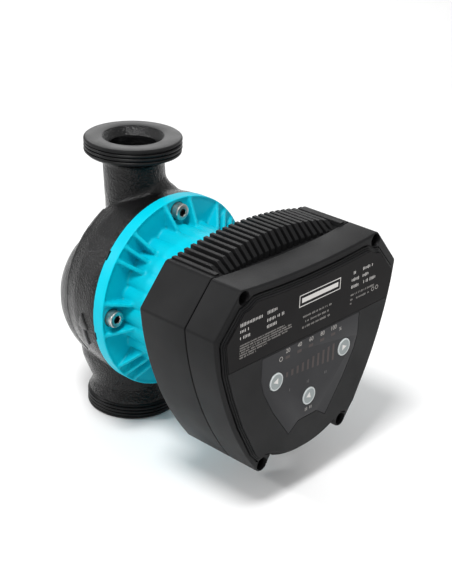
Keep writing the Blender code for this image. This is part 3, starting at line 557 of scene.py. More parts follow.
def ring_graph() -> Graph:
    """A shape repeated round the axis, each copy turned to face outwards.

    Returns:
        The graph, which takes the shape, its count, the radius and the first angle.
    """
    graph = Graph("Ring of shapes")
    shape = graph.knob("Shape", Knob.SHAPE)
    count = graph.knob("Count", Knob.COUNT)
    radius = graph.knob("Radius", Knob.SIZE)
    first = graph.knob("First Angle", Knob.SIZE)
    index = graph.add("GeometryNodeInputIndex", {})
    step = graph.sum("DIVIDE", math.tau, count)
    angle = graph.sum("ADD", graph.sum("MULTIPLY", index, step), first)
    x = graph.sum("MULTIPLY", graph.sum("COSINE", angle), radius)
    y = graph.sum("MULTIPLY", graph.sum("SINE", angle), radius)
    place = graph.add("ShaderNodeCombineXYZ", {0: x, 1: y})
    points = graph.add("GeometryNodePoints", {"Count": count, "Position": place})
    turn = graph.add("FunctionNodeEulerToRotation", {0: graph.add("ShaderNodeCombineXYZ", {2: angle})})
    info = graph.add("GeometryNodeObjectInfo", {"Object": shape}).node.outputs["Geometry"]
    return graph.close(graph.add("GeometryNodeInstanceOnPoints",
                                 {"Points": points, "Instance": info, "Rotation": turn}))


def row_graph() -> Graph:
    """A shape repeated along X, stretched in Y to reach an arched crown and shorter in the middle.

    Returns:
        The graph, which takes the shape, its count and pitch, and the sizes of the arch.
    """
    graph = Graph("Row under an arch")
    shape = graph.knob("Shape", Knob.SHAPE)
    count = graph.knob("Count", Knob.COUNT)
    pitch = graph.knob("Pitch", Knob.SIZE)
    root = graph.knob("Root Height", Knob.SIZE)
    crown = graph.knob("Crown Height", Knob.SIZE)
    radius = graph.knob("Arch Radius", Knob.SIZE)
    back = graph.knob("Back", Knob.SIZE)
    shortening = graph.knob("Shortening", Knob.SIZE)
    index = graph.add("GeometryNodeInputIndex", {})
    middle = graph.sum("MULTIPLY", graph.sum("SUBTRACT", count, 1.0), 0.5)
    x = graph.sum("MULTIPLY", graph.sum("SUBTRACT", index, middle), pitch)
    square = graph.sum("SUBTRACT", graph.sum("MULTIPLY", radius, radius), graph.sum("MULTIPLY", x, x))
    drop = graph.sum("SUBTRACT", graph.sum("SQRT", square), radius)
    height = graph.sum("SUBTRACT", graph.sum("ADD", crown, drop), root)
    share = graph.sum("DIVIDE", x, graph.sum("MULTIPLY", middle, pitch))
    inner = graph.sum("SUBTRACT", 1.0, graph.sum("MULTIPLY", share, share))
    length = graph.sum("SUBTRACT", 1.0, graph.sum("MULTIPLY", shortening, inner))
    place = graph.add("ShaderNodeCombineXYZ", {0: x, 1: root, 2: back})
    points = graph.add("GeometryNodePoints", {"Count": count, "Position": place})
    info = graph.add("GeometryNodeObjectInfo", {"Object": shape}).node.outputs["Geometry"]
    scale = graph.add("ShaderNodeCombineXYZ", {0: 1.0, 1: height, 2: length})
    return graph.close(graph.add("GeometryNodeInstanceOnPoints",
                                 {"Points": points, "Instance": info, "Scale": scale}))


def marks_graph() -> Graph:
    """A line of upright ticks of uneven height with gaps, like print too small to read.

    Returns:
        The graph, which takes the ticks' count, pitch, sizes and seed.
    """
    graph = Graph("Line of ticks")
    count = graph.knob("Count", Knob.COUNT)
    pitch = graph.knob("Pitch", Knob.SIZE)
    width = graph.knob("Width", Knob.SIZE)
    height = graph.knob("Height", Knob.SIZE)
    depth = graph.knob("Depth", Knob.SIZE)
    seed = graph.knob("Seed", Knob.COUNT)
    index = graph.add("GeometryNodeInputIndex", {})
    x = graph.sum("MULTIPLY", index, pitch)
    points = graph.add("GeometryNodePoints", {"Count": count,
                                              "Position": graph.add("ShaderNodeCombineXYZ", {0: x})})
    gap_share, shortest = 0.16, 0.62
    gap = graph.add("FunctionNodeRandomValue", {"Probability": gap_share, "Seed": seed},
                    data_type="BOOLEAN").node.outputs[3]
    kept = graph.add("GeometryNodeDeleteGeometry", {"Geometry": points, "Selection": gap})
    share = graph.add("FunctionNodeRandomValue", {2: shortest, 3: 1.0, "Seed": seed}).node.outputs[1]
    tall = graph.sum("MULTIPLY", height, share)
    tick = graph.add("GeometryNodeMeshCube", {"Size": (1.0, 1.0, 1.0)})
    scale = graph.add("ShaderNodeCombineXYZ", {0: width, 1: tall, 2: depth})
    placed = graph.add("GeometryNodeInstanceOnPoints", {"Points": kept, "Instance": tick, "Scale": scale})
    return graph.close(placed)


def thread_graph() -> Graph:
    """A round-crested screw thread that fades out at both ends.

    Returns:
        The graph, which takes the thread's turns, radius and length and its ridge's radius.
    """
    graph = Graph("Pipe thread")
    turns = graph.knob("Turns", Knob.SIZE)
    radius = graph.knob("Radius", Knob.SIZE)
    length = graph.knob("Length", Knob.SIZE)
    ridge = graph.knob("Ridge Radius", Knob.SIZE)
    spiral = graph.add("GeometryNodeCurveSpiral", {"Resolution": 96, "Rotations": turns,
                                                   "Start Radius": radius, "End Radius": radius,
                                                   "Height": length})
    fade_rate, end_share = 14.0, 0.25
    factor = graph.add("GeometryNodeSplineParameter", {})
    from_end = graph.sum("MINIMUM", factor, graph.sum("SUBTRACT", 1.0, factor))
    fade = graph.sum("MINIMUM", graph.sum("MULTIPLY", from_end, fade_rate), 1.0)
    swelling = graph.sum("MULTIPLY", fade, 1 - end_share)
    thick = graph.sum("MULTIPLY", ridge, graph.sum("ADD", swelling, end_share))
    return graph.close(swept(graph, spiral, thick, 10))


def swept(graph: Graph, path: bpy.types.NodeSocket, radius: bpy.types.NodeSocket,
          sides: int) -> bpy.types.NodeSocket:
    """Sweeps a circle of a given radius along a path.

    Args:
        graph: The tree to add to.
        path: The curve.
        radius: The circle's radius, which may change along the path.
        sides: Sides of the circle.

    Returns:
        The swept mesh.
    """
    profile = graph.add("GeometryNodeCurvePrimitiveCircle", {"Resolution": sides, "Radius": 1.0})
    sized = graph.add("GeometryNodeSetCurveRadius", {"Curve": path, "Radius": radius})
    mesh = graph.add("GeometryNodeCurveToMesh", {"Curve": sized, "Profile Curve": profile,
                                                 "Fill Caps": True})
    if "Scale" in mesh.node.inputs:
        graph.tree.links.new(graph.add("GeometryNodeInputRadius", {}), mesh.node.inputs["Scale"])
    return mesh


def ridge_graph() -> Graph:
    """A thin round ridge that follows the edges of the mesh it works on.

    Returns:
        The graph, which takes the path as its base and the ridge's radius.
    """
    graph = Graph("Ridge along a path")
    width = graph.knob("Ridge Radius", Knob.SIZE)
    graph.tree.interface.new_socket("Path", in_out="INPUT", socket_type="NodeSocketGeometry")
    for item in graph.tree.interface.items_tree:
        if item.name == "Path":
            graph.tree.interface.move(item, 0)
    curve = graph.add("GeometryNodeMeshToCurve", {"Mesh": graph.source.outputs["Path"]})
    return graph.close(swept(graph, curve, width, 8))


class Shape:
    """A mesh held by a hidden object while a graph repeats it."""

    def __init__(self, mesh: bpy.types.Mesh) -> None:
        """Puts the mesh in an object."""
        self.holder = bpy.data.objects.new("shape", mesh)
        bpy.context.scene.collection.objects.link(self.holder)

    def __enter__(self) -> bpy.types.Object:
        """Returns the object."""
        return self.holder

    def __exit__(self, *problem: object) -> None:
        """Removes the object."""
        bpy.data.objects.remove(self.holder)


# ---- Finishes ----

def shader_group(name: str, inputs: dict[str, str], outputs: dict[str, str]) -> tuple:
    """Starts a shader node group with named inputs and outputs.

    Args:
        name: The group's name.
        inputs: Names of inputs and their kinds of socket.
        outputs: The same for outputs.

    Returns:
        The group, its input node and its output node.
    """
    tree = bpy.data.node_groups.new(name, "ShaderNodeTree")
    for label, kind in inputs.items():
        tree.interface.new_socket(label, in_out="INPUT", socket_type=kind)
    for label, kind in outputs.items():
        tree.interface.new_socket(label, in_out="OUTPUT", socket_type=kind)
    return tree, tree.nodes.new("NodeGroupInput"), tree.nodes.new("NodeGroupOutput")


def mix_colour(tree: bpy.types.NodeTree, amount: object, first: object,
               second: object) -> bpy.types.NodeSocket:
    """Adds a colour Mix node.

    Args:
        tree: The tree to add to.
        amount: Share of the second colour.
        first: The first colour.
        second: The second colour.

    Returns:
        The mixed colour.
    """
    node = tree.nodes.new("ShaderNodeMix")
    node.data_type = "RGBA"
    for number, value in ((0, amount), (6, first), (7, second)):
        if isinstance(value, bpy.types.NodeSocket):
            tree.links.new(value, node.inputs[number])
        else:
            node.inputs[number].default_value = value
    return node.outputs[2]


def span(tree: bpy.types.NodeTree, value: bpy.types.NodeSocket, source: tuple[object, object],
         target: tuple[object, object]) -> bpy.types.NodeSocket:
    """Adds a clamped Map Range node.

    Args:
        tree: The tree to add to.
        value: The value to map.
        source: The two bounds that it comes in between.
        target: The two bounds that it goes out between.

    Returns:
        The mapped value.
    """
    node = tree.nodes.new("ShaderNodeMapRange")
    tree.links.new(value, node.inputs[0])
    for number, bound in enumerate((*source, *target), start=1):
        if isinstance(bound, bpy.types.NodeSocket):
            tree.links.new(bound, node.inputs[number])
        else:
            node.inputs[number].default_value = bound
    return node.outputs[0]


def noise_node(tree: bpy.types.NodeTree, place: bpy.types.NodeSocket, scale: object,
               detail: float) -> bpy.types.NodeSocket:
    """Adds a Noise texture.

    Args:
        tree: The tree to add to.
        place: Where the noise is read.
        scale: How fine the noise is.
        detail: How many finer layers it has.

    Returns:
        The noise's value.
    """
    node = tree.nodes.new("ShaderNodeTexNoise")
    node.inputs["Detail"].default_value = detail
    tree.links.new(place, node.inputs["Vector"])
    if isinstance(scale, bpy.types.NodeSocket):
        tree.links.new(scale, node.inputs["Scale"])
    else:
        node.inputs["Scale"].default_value = scale
    return node.outputs[0]


def tone_group() -> bpy.types.NodeTree:
    """Slow drift between two tones of one colour, with the roughness following it.

    Returns:
        The group.
    """
    tree, start, end = shader_group(
        "Tone drift",
        {"Vector": "NodeSocketVector", "Scale": "NodeSocketFloat", "Light": "NodeSocketColor",
         "Dark": "NodeSocketColor", "Smooth": "NodeSocketFloat", "Rough": "NodeSocketFloat"},
        {"Colour": "NodeSocketColor", "Roughness": "NodeSocketFloat"})
    patch = noise_node(tree, start.outputs["Vector"], start.outputs["Scale"], 5.0)
    amount = span(tree, patch, (0.34, 0.66), (0.0, 1.0))
    colour = mix_colour(tree, amount, start.outputs["Light"], start.outputs["Dark"])
    rough = span(tree, patch, (0.3, 0.7), (start.outputs["Smooth"], start.outputs["Rough"]))
    tree.links.new(colour, end.inputs["Colour"])
    tree.links.new(rough, end.inputs["Roughness"])
    return tree


def grain_group() -> bpy.types.NodeTree:
    """A height for bumps: coarse lumps with a finer grain over them.

    Returns:
        The group.
    """
    tree, start, end = shader_group(
        "Surface grain",
        {"Vector": "NodeSocketVector", "Coarse": "NodeSocketFloat", "Fine": "NodeSocketFloat",
         "Balance": "NodeSocketFloat"},
        {"Height": "NodeSocketFloat"})
    coarse = noise_node(tree, start.outputs["Vector"], start.outputs["Coarse"], 3.0)
    fine = noise_node(tree, start.outputs["Vector"], start.outputs["Fine"], 2.0)
    node = tree.nodes.new("ShaderNodeMix")
    tree.links.new(start.outputs["Balance"], node.inputs[0])
    tree.links.new(coarse, node.inputs[2])
    tree.links.new(fine, node.inputs[3])
    tree.links.new(node.outputs[0], end.inputs["Height"])
    return tree


def edge_group() -> bpy.types.NodeTree:
    """Paler raised edges from wear, and painted shade that darkens the hollows, both read from how sharply
    the surface bends.

    Returns:
        The group.
    """
    tree, start, end = shader_group(
        "Worn edges and painted hollow shade",
        {"Colour": "NodeSocketColor", "Vector": "NodeSocketVector", "Edge": "NodeSocketColor",
         "Wear": "NodeSocketFloat", "Hollow": "NodeSocketColor"},
        {"Colour": "NodeSocketColor"})
    bend = tree.nodes.new("ShaderNodeNewGeometry").outputs["Pointiness"]
    raised = span(tree, bend, (0.515, 0.56), (0.0, start.outputs["Wear"]))
    broken = span(tree, noise_node(tree, start.outputs["Vector"], 160.0, 4.0), (0.35, 0.6), (0.2, 1.0))
    amount = tree.nodes.new("ShaderNodeMath")
    amount.operation = "MULTIPLY"
    tree.links.new(raised, amount.inputs[0])
    tree.links.new(broken, amount.inputs[1])
    worn = mix_colour(tree, amount.outputs[0], start.outputs["Colour"], start.outputs["Edge"])
    # Painted shade: the colour is pulled towards the dark hollow colour where the surface bends inwards.
    deep = span(tree, bend, (0.485, 0.44), (0.0, 0.6))
    tree.links.new(mix_colour(tree, deep, worn, start.outputs["Hollow"]), end.inputs["Colour"])
    return tree


# Share of a finish's dark tone that its painted hollow shade goes down to.
HOLLOW_SHADE_SHARE = 0.45


@dataclass(frozen=True)
class Finish:
    """One surface finish: its two tones, its gloss and its relief."""

    name: str
    light: Colour
    dark: Colour
    gloss: tuple[float, float]
    metallic: float = 0.0
    patches: float = 28.0
    coarse: float = 900.0
    fine: float = 3600.0
    balance: float = 0.5
    relief: float = 0.05
    edge: Colour | None = None
    wear: float = 0.5
    stretch: Colour = (1.0, 1.0, 1.0)
    specular: float = 0.5

    def material(self) -> bpy.types.Material:
        """Builds the material the first time and returns it.

        Returns:
            The material.
        """
        known = bpy.data.materials.get(self.name)
        if known:
            return known
        material = bpy.data.materials.new(self.name)
        material.use_nodes = True
        tree = material.node_tree
        shader = tree.nodes["Principled BSDF"]
        place = tree.nodes.new("ShaderNodeTexCoord").outputs["Object"]
        if self.stretch != (1.0, 1.0, 1.0):
            mapping = tree.nodes.new("ShaderNodeMapping")
            mapping.inputs["Scale"].default_value = self.stretch
            tree.links.new(place, mapping.inputs["Vector"])
            place = mapping.outputs["Vector"]
        tone = self.group(tree, "Tone drift", {
            "Vector": place, "Scale": self.patches, "Light": (*self.light, 1), "Dark": (*self.dark, 1),
            "Smooth": self.gloss[0], "Rough": self.gloss[1]})
        colour = tone.outputs["Colour"]
        if self.edge:
            # Painted shade for the hollows: the dark tone made darker still.
            hollow = tuple(value * HOLLOW_SHADE_SHARE for value in self.dark)
            colour = self.group(tree, "Worn edges and painted hollow shade", {
                "Colour": colour, "Vector": place, "Edge": (*self.edge, 1), "Wear": self.wear,
                "Hollow": (*hollow, 1)}).outputs["Colour"]
        grain = self.group(tree, "Surface grain", {
            "Vector": place, "Coarse": self.coarse, "Fine": self.fine, "Balance": self.balance})
        bump = tree.nodes.new("ShaderNodeBump")
        bump.inputs["Distance"].default_value = self.relief * MM
        bump.inputs["Strength"].default_value = 1.0
        tree.links.new(grain.outputs["Height"], bump.inputs["Height"])
        tree.links.new(colour, shader.inputs["Base Color"])
        tree.links.new(tone.outputs["Roughness"], shader.inputs["Roughness"])
        tree.links.new(bump.outputs["Normal"], shader.inputs["Normal"])
        shader.inputs["Metallic"].default_value = self.metallic
        shader.inputs["Specular IOR Level"].default_value = self.specular
        return material

    @staticmethod
    def group(tree: bpy.types.NodeTree, name: str, inputs: dict) -> bpy.types.Node:
        """Places a shared group in a material with its own values.

        Args:
            tree: The material's tree.
            name: The group's name.
            inputs: Values or sockets for its inputs.

        Returns:
            The placed node.
        """
        node = tree.nodes.new("ShaderNodeGroup")
        node.node_tree = bpy.data.node_groups[name]
        for key, value in inputs.items():
            if isinstance(value, bpy.types.NodeSocket):
                tree.links.new(value, node.inputs[key])
            else:
                node.inputs[key].default_value = value
        return node


BLACK_CASTING = Finish("black_casting", (0.0028, 0.0028, 0.003), (0.0042, 0.0042, 0.0044), (0.13, 0.22),
                       coarse=420.0, fine=900.0, balance=0.6, relief=1.0, edge=(0.015, 0.015, 0.016),
                       wear=0.3, patches=60.0, specular=0.28)
# Painted highlight: a paler black for the seam ridge and the flow arrow, standing in for the thin line of
# light they catch.
RAISED_HIGHLIGHT = Finish("worn_ridge", (0.075, 0.075, 0.077), (0.008, 0.008, 0.0082), (0.20, 0.30),
                    coarse=420.0, fine=950.0, relief=0.2, patches=150.0, specular=0.4)
BLACK_THREAD = Finish("black_thread", (0.006, 0.006, 0.0064), (0.009, 0.009, 0.0094), (0.30, 0.40),
                      coarse=700.0, fine=1600.0, relief=0.1, patches=80.0, specular=0.16)
TURQUOISE = Finish("turquoise_paint", (0.0, 0.50, 0.63), (0.0, 0.45, 0.58), (0.36, 0.46),
                   coarse=500.0, fine=1800.0, relief=0.06, edge=(0.0, 0.66, 0.80), wear=0.4, patches=45.0,
                   specular=0.12)
CHARCOAL = Finish("charcoal_plastic", (0.0095, 0.0095, 0.0099), (0.0075, 0.0075, 0.0079), (0.44, 0.54),
                  coarse=1300.0, fine=3600.0, relief=0.09, patches=35.0, specular=0.13)
LABEL = Finish("label_film", (0.0115, 0.0108, 0.0110), (0.0102, 0.0095, 0.0098), (0.40, 0.48),
               coarse=1500.0, fine=5000.0, relief=0.008, specular=0.05)
PANEL = Finish("panel_film", (0.031, 0.031, 0.033), (0.027, 0.027, 0.029), (0.42, 0.5),
               coarse=1500.0, fine=5000.0, relief=0.01, specular=0.1)
BUTTON = Finish("button_grey", (0.27, 0.30, 0.30), (0.24, 0.27, 0.27), (0.4, 0.5), relief=0.015,
                specular=0.3)
BUTTON_RING = Finish("button_ring", (0.52, 0.55, 0.55), (0.48, 0.51, 0.51), (0.35, 0.45), relief=0.01)
WHITE_INK = Finish("white_ink", (0.68, 0.66, 0.64), (0.60, 0.58, 0.56), (0.45, 0.55), relief=0.005)
GREY_INK = Finish("grey_ink", (0.36, 0.34, 0.32), (0.30, 0.285, 0.27), (0.45, 0.55), relief=0.005)
FAINT_INK = Finish("faint_ink", (0.056, 0.043, 0.040), (0.047, 0.036, 0.034), (0.4, 0.5), relief=0.005,
                   specular=0.2)
DIM_INK = Finish("dim_ink", (0.085, 0.08, 0.08), (0.07, 0.066, 0.066), (0.4, 0.5), relief=0.005)
ZINC = Finish("zinc_steel", (0.66, 0.66, 0.63), (0.46, 0.46, 0.44), (0.26, 0.40), metallic=1.0,
              coarse=1500.0, fine=4200.0, relief=0.03, patches=320.0)
KNURLED = Finish("knurled_steel", (0.58, 0.58, 0.555), (0.42, 0.42, 0.40), (0.34, 0.5), metallic=1.0,
                 coarse=1900.0, fine=4200.0, relief=0.1, patches=320.0)
# Dark steel: the cover screws' own colour, and painted shade inside every screw's socket.
DARK_STEEL_AND_SOCKET_SHADE = Finish("dark_steel", (0.12, 0.12, 0.12), (0.08, 0.08, 0.08), (0.35, 0.5), metallic=1.0,
                    relief=0.02)
STAINLESS = Finish("stainless", (0.56, 0.56, 0.55), (0.50, 0.50, 0.49), (0.22, 0.34), metallic=1.0,
                   stretch=(1.0, 6.0, 1.0), relief=0.01)
LAMINATED = Finish("laminated_steel", (0.30, 0.30, 0.31), (0.22, 0.22, 0.23), (0.4, 0.55), metallic=1.0,
                   stretch=(0.1, 1.0, 0.1), coarse=2000.0, relief=0.08)
COPPER = Finish("copper_wire", (0.55, 0.21, 0.08), (0.42, 0.15, 0.05), (0.3, 0.42), metallic=1.0,
                coarse=1600.0, relief=0.12)
CERAMIC = Finish("ceramic", (0.80, 0.78, 0.72), (0.74, 0.72, 0.66), (0.22, 0.32), relief=0.01)
CARBON = Finish("carbon", (0.045, 0.045, 0.047), (0.03, 0.03, 0.032), (0.42, 0.55), relief=0.02)
MAGNET = Finish("magnet_coating", (0.06, 0.06, 0.065), (0.045, 0.045, 0.05), (0.38, 0.5), relief=0.03)
RUBBER = Finish("black_rubber", (0.014, 0.014, 0.014), (0.010, 0.010, 0.010), (0.65, 0.8), relief=0.03)
WHEEL_PLASTIC = Finish("impeller_plastic", (0.085, 0.085, 0.085), (0.07, 0.07, 0.07), (0.4, 0.5),
                       relief=0.03)
BOARD = Finish("board_green", (0.02, 0.15, 0.065), (0.012, 0.11, 0.05), (0.35, 0.5), relief=0.02,
               patches=90.0)
DARK_PLASTIC = Finish("dark_plastic", (0.012, 0.012, 0.013), (0.009, 0.009, 0.010), (0.42, 0.55),
                      coarse=1800.0, fine=5200.0, relief=0.03, specular=0.3)
PALE_PLASTIC = Finish("pale_plastic", (0.70, 0.73, 0.75), (0.62, 0.65, 0.68), (0.2, 0.3), relief=0.01)
PAD = Finish("thermal_pad", (0.34, 0.44, 0.58), (0.28, 0.37, 0.5), (0.65, 0.8), relief=0.04)
STUDIO_FLOOR = Finish("studio_floor", (0.88, 0.88, 0.88), (0.86, 0.86, 0.86), (0.7, 0.8), relief=0.0,
                      patches=2.0, specular=0.1)

SLOT_FINISHES = {
    "cast": BLACK_CASTING, "turquoise": TURQUOISE, "charcoal": CHARCOAL, "label": LABEL, "panel": PANEL,
    "button": BUTTON, "zinc": ZINC, "stainless": STAINLESS, "lamination": LAMINATED, "copper": COPPER,
    "ceramic": CERAMIC, "carbon": CARBON, "magnet": MAGNET, "rubber": RUBBER, "impeller": WHEEL_PLASTIC,
    "board": BOARD, "dark_plastic": DARK_PLASTIC, "clear_plastic": PALE_PLASTIC, "thermal_pad": PAD}


# ---- Pump housing ----

@dataclass
class Volute:
    """The cast pump housing with its two threaded ports."""

    drum_radius: float = 60.0
    seam_radius: float = 54.6
    mating_reach: float = 30.0
    bulge_radius: float = 48.0
    bulge_depth: float = 44.0
    bulge_drop: float = 12.5
    neck_radius: float = 18.8
    neck_lean: float = 4.5
    suction_lean: float = 11.0
    collar_height: float = 10.0
    crest_radius: float = 29.8
    root_radius: float = 28.4
    mouth_radius: float = 19.0
    throat_radius: float = 14.4
    thread_pitch: float = 2.309
    ridge_radius: float = 0.62
    ridge_sink: float = 0.18
    seam_spans: tuple[tuple[int, int], ...] = ((-46, 64), (116, 226))
    swell: tuple[float, float] = (110.0, 0.16)
    ripple: tuple[float, float] = (380.0, 0.09)
    arrow_reach: float = 18.5
    voxel: float = 1.15
    smoothing: int = 9

    def neck_frame(self) -> Matrix:
        """The frame of the upper port's leaning neck, which starts under the collar."""
        foot = Matrix.Translation((0, 0, (PORT_HALF - self.collar_height) * MM))
        return PORT_FRAME @ foot @ Matrix.Rotation(math.radians(-self.neck_lean), 4, "X")

    def masses(self) -> list[bpy.types.Mesh]:
        """The overlapping solids that the casting is melted from.

        Returns:
            Closed meshes that overlap.
        """
        foot = PORT_HALF - self.collar_height
        drum = turned([
            (0, 32), (self.drum_radius, 32), (self.drum_radius, 26), (self.drum_radius - 2, 11),
            (self.seam_radius, 0), (self.seam_radius - 5, -4.5), (self.seam_radius - 15, -7), (0, -8)])
        quarter = [math.radians(90 * i / 24) for i in range(25)]
        depth = self.bulge_depth + 2
        bulge = turned([(0, 0)] + [(self.bulge_radius * math.cos(a), -depth * math.sin(a))
                                   for a in quarter[:-1]] + [(0, -depth)],
                       place=AXIS_FRAME @ Matrix.Translation((0, -self.bulge_drop * MM, 2 * MM)))
        neck = turned([(0, 2), (self.neck_radius, 2), (self.neck_radius, 26 - foot),
                       (self.neck_radius - 6, 18 - foot), (0, 16 - foot)],
                      place=self.neck_frame())
        collar = turned([(0, 88), (27.4, 88), (27.4, foot), (21.3, foot - 2.4), (16.3, foot - 6),
                         (0, foot - 6)], place=PORT_FRAME)
        fillet = turned([(0, 67), (10, 67), (15, 60.5), (19.5, 56.5), (20.5, 53), (20.5, 44), (0, 44)],
                        place=PORT_FRAME @ Matrix.Translation((3 * MM, -8.5 * MM, 0)))
        suction = turned([(0, 10 - foot), (24.4, 10 - foot), (25.2, 7.5 - foot), (26.6, 4.5 - foot),
                          (29.3, -foot - 0.4), (27.4, -foot - 1.2), (27.4, -88), (0, -88)],
                         place=PORT_FRAME)
        root = turned([(0, 42), (26, 40), (30.5, 28), (30.5, 20), (28.2, 11), (26.2, 4.5), (24.8, 0),
                       (0, -1)],
                      place=PORT_FRAME @ Matrix.Translation((0, 0, (7 - foot) * MM))
                      @ Matrix.Rotation(math.radians(-self.suction_lean), 4, "X"))
        return [drum, bulge, neck, collar, fillet, suction, root]

    def hollows(self) -> bpy.types.Mesh:
        """The bores, the impeller chamber and the mating face, as one cutter.

        Returns:
            A closed mesh.
        """
        foot = PORT_HALF - self.collar_height
        upper = turned([(0, 95), (20, 95), (20, 80.6), (self.throat_radius, 80.6), (13.5, 63), (0, 63)],
                       64, PORT_FRAME)
        falling = rod(13.5, 26 - foot, 66 - foot, place=self.neck_frame())
        lower = turned([(0, -58), (13.5, -58), (self.throat_radius, -80.6), (20, -80.6), (20, -95),
                        (0, -95)], 64, PORT_FRAME)
        shift, climb = 20, 62
        rising = rod(13.0, 2 - math.hypot(shift, climb), 6,
                     place=PORT_FRAME @ Matrix.Translation((0, shift * MM, 0))
                     @ Matrix.Rotation(-math.atan2(shift, climb), 4, "X"))
        eye = rod(12.5, -26, 14)
        seat = rod(17.6, 6, 13)
        chamber = turned([(0, 60), (90, 60), (90, self.mating_reach), (48.3, self.mating_reach), (48.3, 26),
                          (46, 26), (46, 12), (0, 12)])
        channel = prism(arc((0, 0), 44, 15, 165, 24) + arc((0, 0), 26, 165, 15, 24), 3, 15)
        return combined(chamber, [channel, seat, eye, rising, lower, falling, upper], Cut.JOIN)

    def roughen(self, mesh: bpy.types.Mesh) -> None:
        """Gives the skin the low, uneven swell of a sand casting.

        Args:
            mesh: The skin, which is changed.
        """
        places = [vertex.co.copy() for vertex in mesh.vertices]
        ways = [vertex.normal.copy() for vertex in mesh.vertices]
        for vertex, place, way in zip(mesh.vertices, places, ways):
            height = sum(noise.noise(place * scale) * depth for scale, depth in (self.swell, self.ripple))
            vertex.co = place + way * (height * MM)

    def seam_path(self, skin: BVHTree) -> bpy.types.Mesh:
        """Finds where the mould's halves meet on the skin.

        Args:
            skin: The casting's skin.

        Returns:
            A mesh of two runs of edges, one on each side of the drum.
        """
        path = bmesh.new()
        for start, end in self.seam_spans:
            last = None
            for angle in range(start, end + 1):
                x, y = round_axis(1.0, angle)
                outside = PORT_FRAME @ (Vector((x, 0, y)) * FAR)
                hit = skin.ray_cast(outside, Vector((-x, 0, -y)))[0]
                vertex = path.verts.new(hit - Vector((x, 0, y)) * (self.ridge_sink * MM))
                if last:
                    path.edges.new((last, vertex))
                last = vertex
        return as_mesh("seam", path)

    def flow_arrow(self, skin: BVHTree) -> bpy.types.Mesh:
        """A raised arrow on the drum's side that shows which way the water leaves.

        Args:
            skin: The casting's skin.

        Returns:
            The arrow, sunk a little into the skin.
        """
        shaft = [(204.0 - i, 2.0) for i in range(13)]
        head = [(191.8, 5.2), (189.6, 4.2), (187.2, 3.0), (184.8, 1.8), (182.6, 0.7)]
        shape = bmesh.new()
        rings = []
        for angle, half in shaft + head:
            x, y = round_axis(1.0, angle)
            away = AXIS_FRAME.to_3x3() @ Vector((x, y, 0))
            ring = []
            for width, lift in ((-half, -0.8), (-half * 0.8, 0.9), (half * 0.8, 0.9), (half, -0.8)):
                start = AXIS_FRAME @ Vector((x * FAR, y * FAR, (self.arrow_reach + width) * MM))
                ring.append(shape.verts.new(skin.ray_cast(start, -away)[0] + away * (lift * MM)))
            rings.append(ring)
        for first, second in zip(rings, rings[1:]):
            for i in range(4):
                j = (i + 1) % 4
                shape.faces.new((first[i], first[j], second[j], second[i]))
        shape.faces.new(rings[0])
        shape.faces.new(rings[-1])
        outward(shape)
        # The arrow takes the paler raised finish, a painted highlight.
        return shaded(eased(as_mesh("arrow", shape), 0.3), RAISED_HIGHLIGHT.material(), PAINTED_ANGLE)

    def collar(self, thread: Graph, upper: bool) -> list[bpy.types.Mesh]:
        """One port's machined collar and its thread.

        Args:
            thread: The thread's graph.
            upper: Whether it is the upper port.

        Returns:
            The collar and the thread.
        """
        side = 1 if upper else -1
        root = self.root_radius
        crest = self.crest_radius
        foot = [(root, 80.5), (27.9, 80.0)] if upper else [(root, 81.4), (29.4, 80.8), (28.9, 80.2),
                                                           (27.9, 80.0)]
        profile = ([(self.mouth_radius + 0.2, 90), (28.4, 90), (29.1, 89.8), (29.6, 89.4), (crest, 88.9),
                    (crest, 88.3), (root, 87.9)] + foot
                   + [(self.throat_radius, 80.0), (self.throat_radius, 85.2),
                      (self.throat_radius + 0.3, 85.6), (self.mouth_radius - 0.25, 89.8)])
        ring = turned([(r, side * z) for r, z in profile], 144, PORT_FRAME)
        ring = shaded(ring, BLACK_THREAD.material(), MACHINED_ANGLE)
        ring.materials.append(BLACK_CASTING.material())
        for polygon in ring.polygons:
            if (polygon.center.xy.length + 0.0001) / MM < self.mouth_radius - 0.2:
                polygon.material_index = 1
        high, low = (88.2, 80.9) if upper else (88.4, 81.2)
        start = low if upper else -high
        coil = thread.grow(PORT_FRAME @ Matrix.Translation((0, 0, start * MM)),
                           Turns=(high - low) / self.thread_pitch, Radius=(crest - 1.0) * MM,
                           Length=(high - low) * MM, Ridge_Radius=1.0 * MM,
                           Finish=BLACK_THREAD.material())
        coil.shade_smooth()
        return [ring, coil]

    def build(self, thread: Graph, ridge: Graph) -> None:
        """Makes the casting and puts it in place.

        Args:
            thread: The thread's graph.
            ridge: The ridge's graph.
        """
        skin = fused(self.masses(), self.voxel, self.smoothing)
        self.roughen(skin)
        tree = BVHTree.FromPolygons([v.co for v in skin.vertices], [p.vertices for p in skin.polygons])
        # The seam ridge takes the paler raised finish, a painted highlight.
        seam = ridge.grow(Matrix.Identity(4), self.seam_path(tree), Ridge_Radius=self.ridge_radius * MM,
                          Finish=RAISED_HIGHLIGHT.material())
        seam.shade_smooth()
        body = combined(skin, [self.hollows()], Cut.AWAY)
        body = shaded(body, BLACK_CASTING.material(), CAST_ANGLE)
        parts = [body, seam, self.flow_arrow(tree)] + self.collar(thread, True) + self.collar(thread, False)
        install("volute_casting", merged(parts), Body.PUMP, "cast", "pump_housing")


# ---- Motor ----

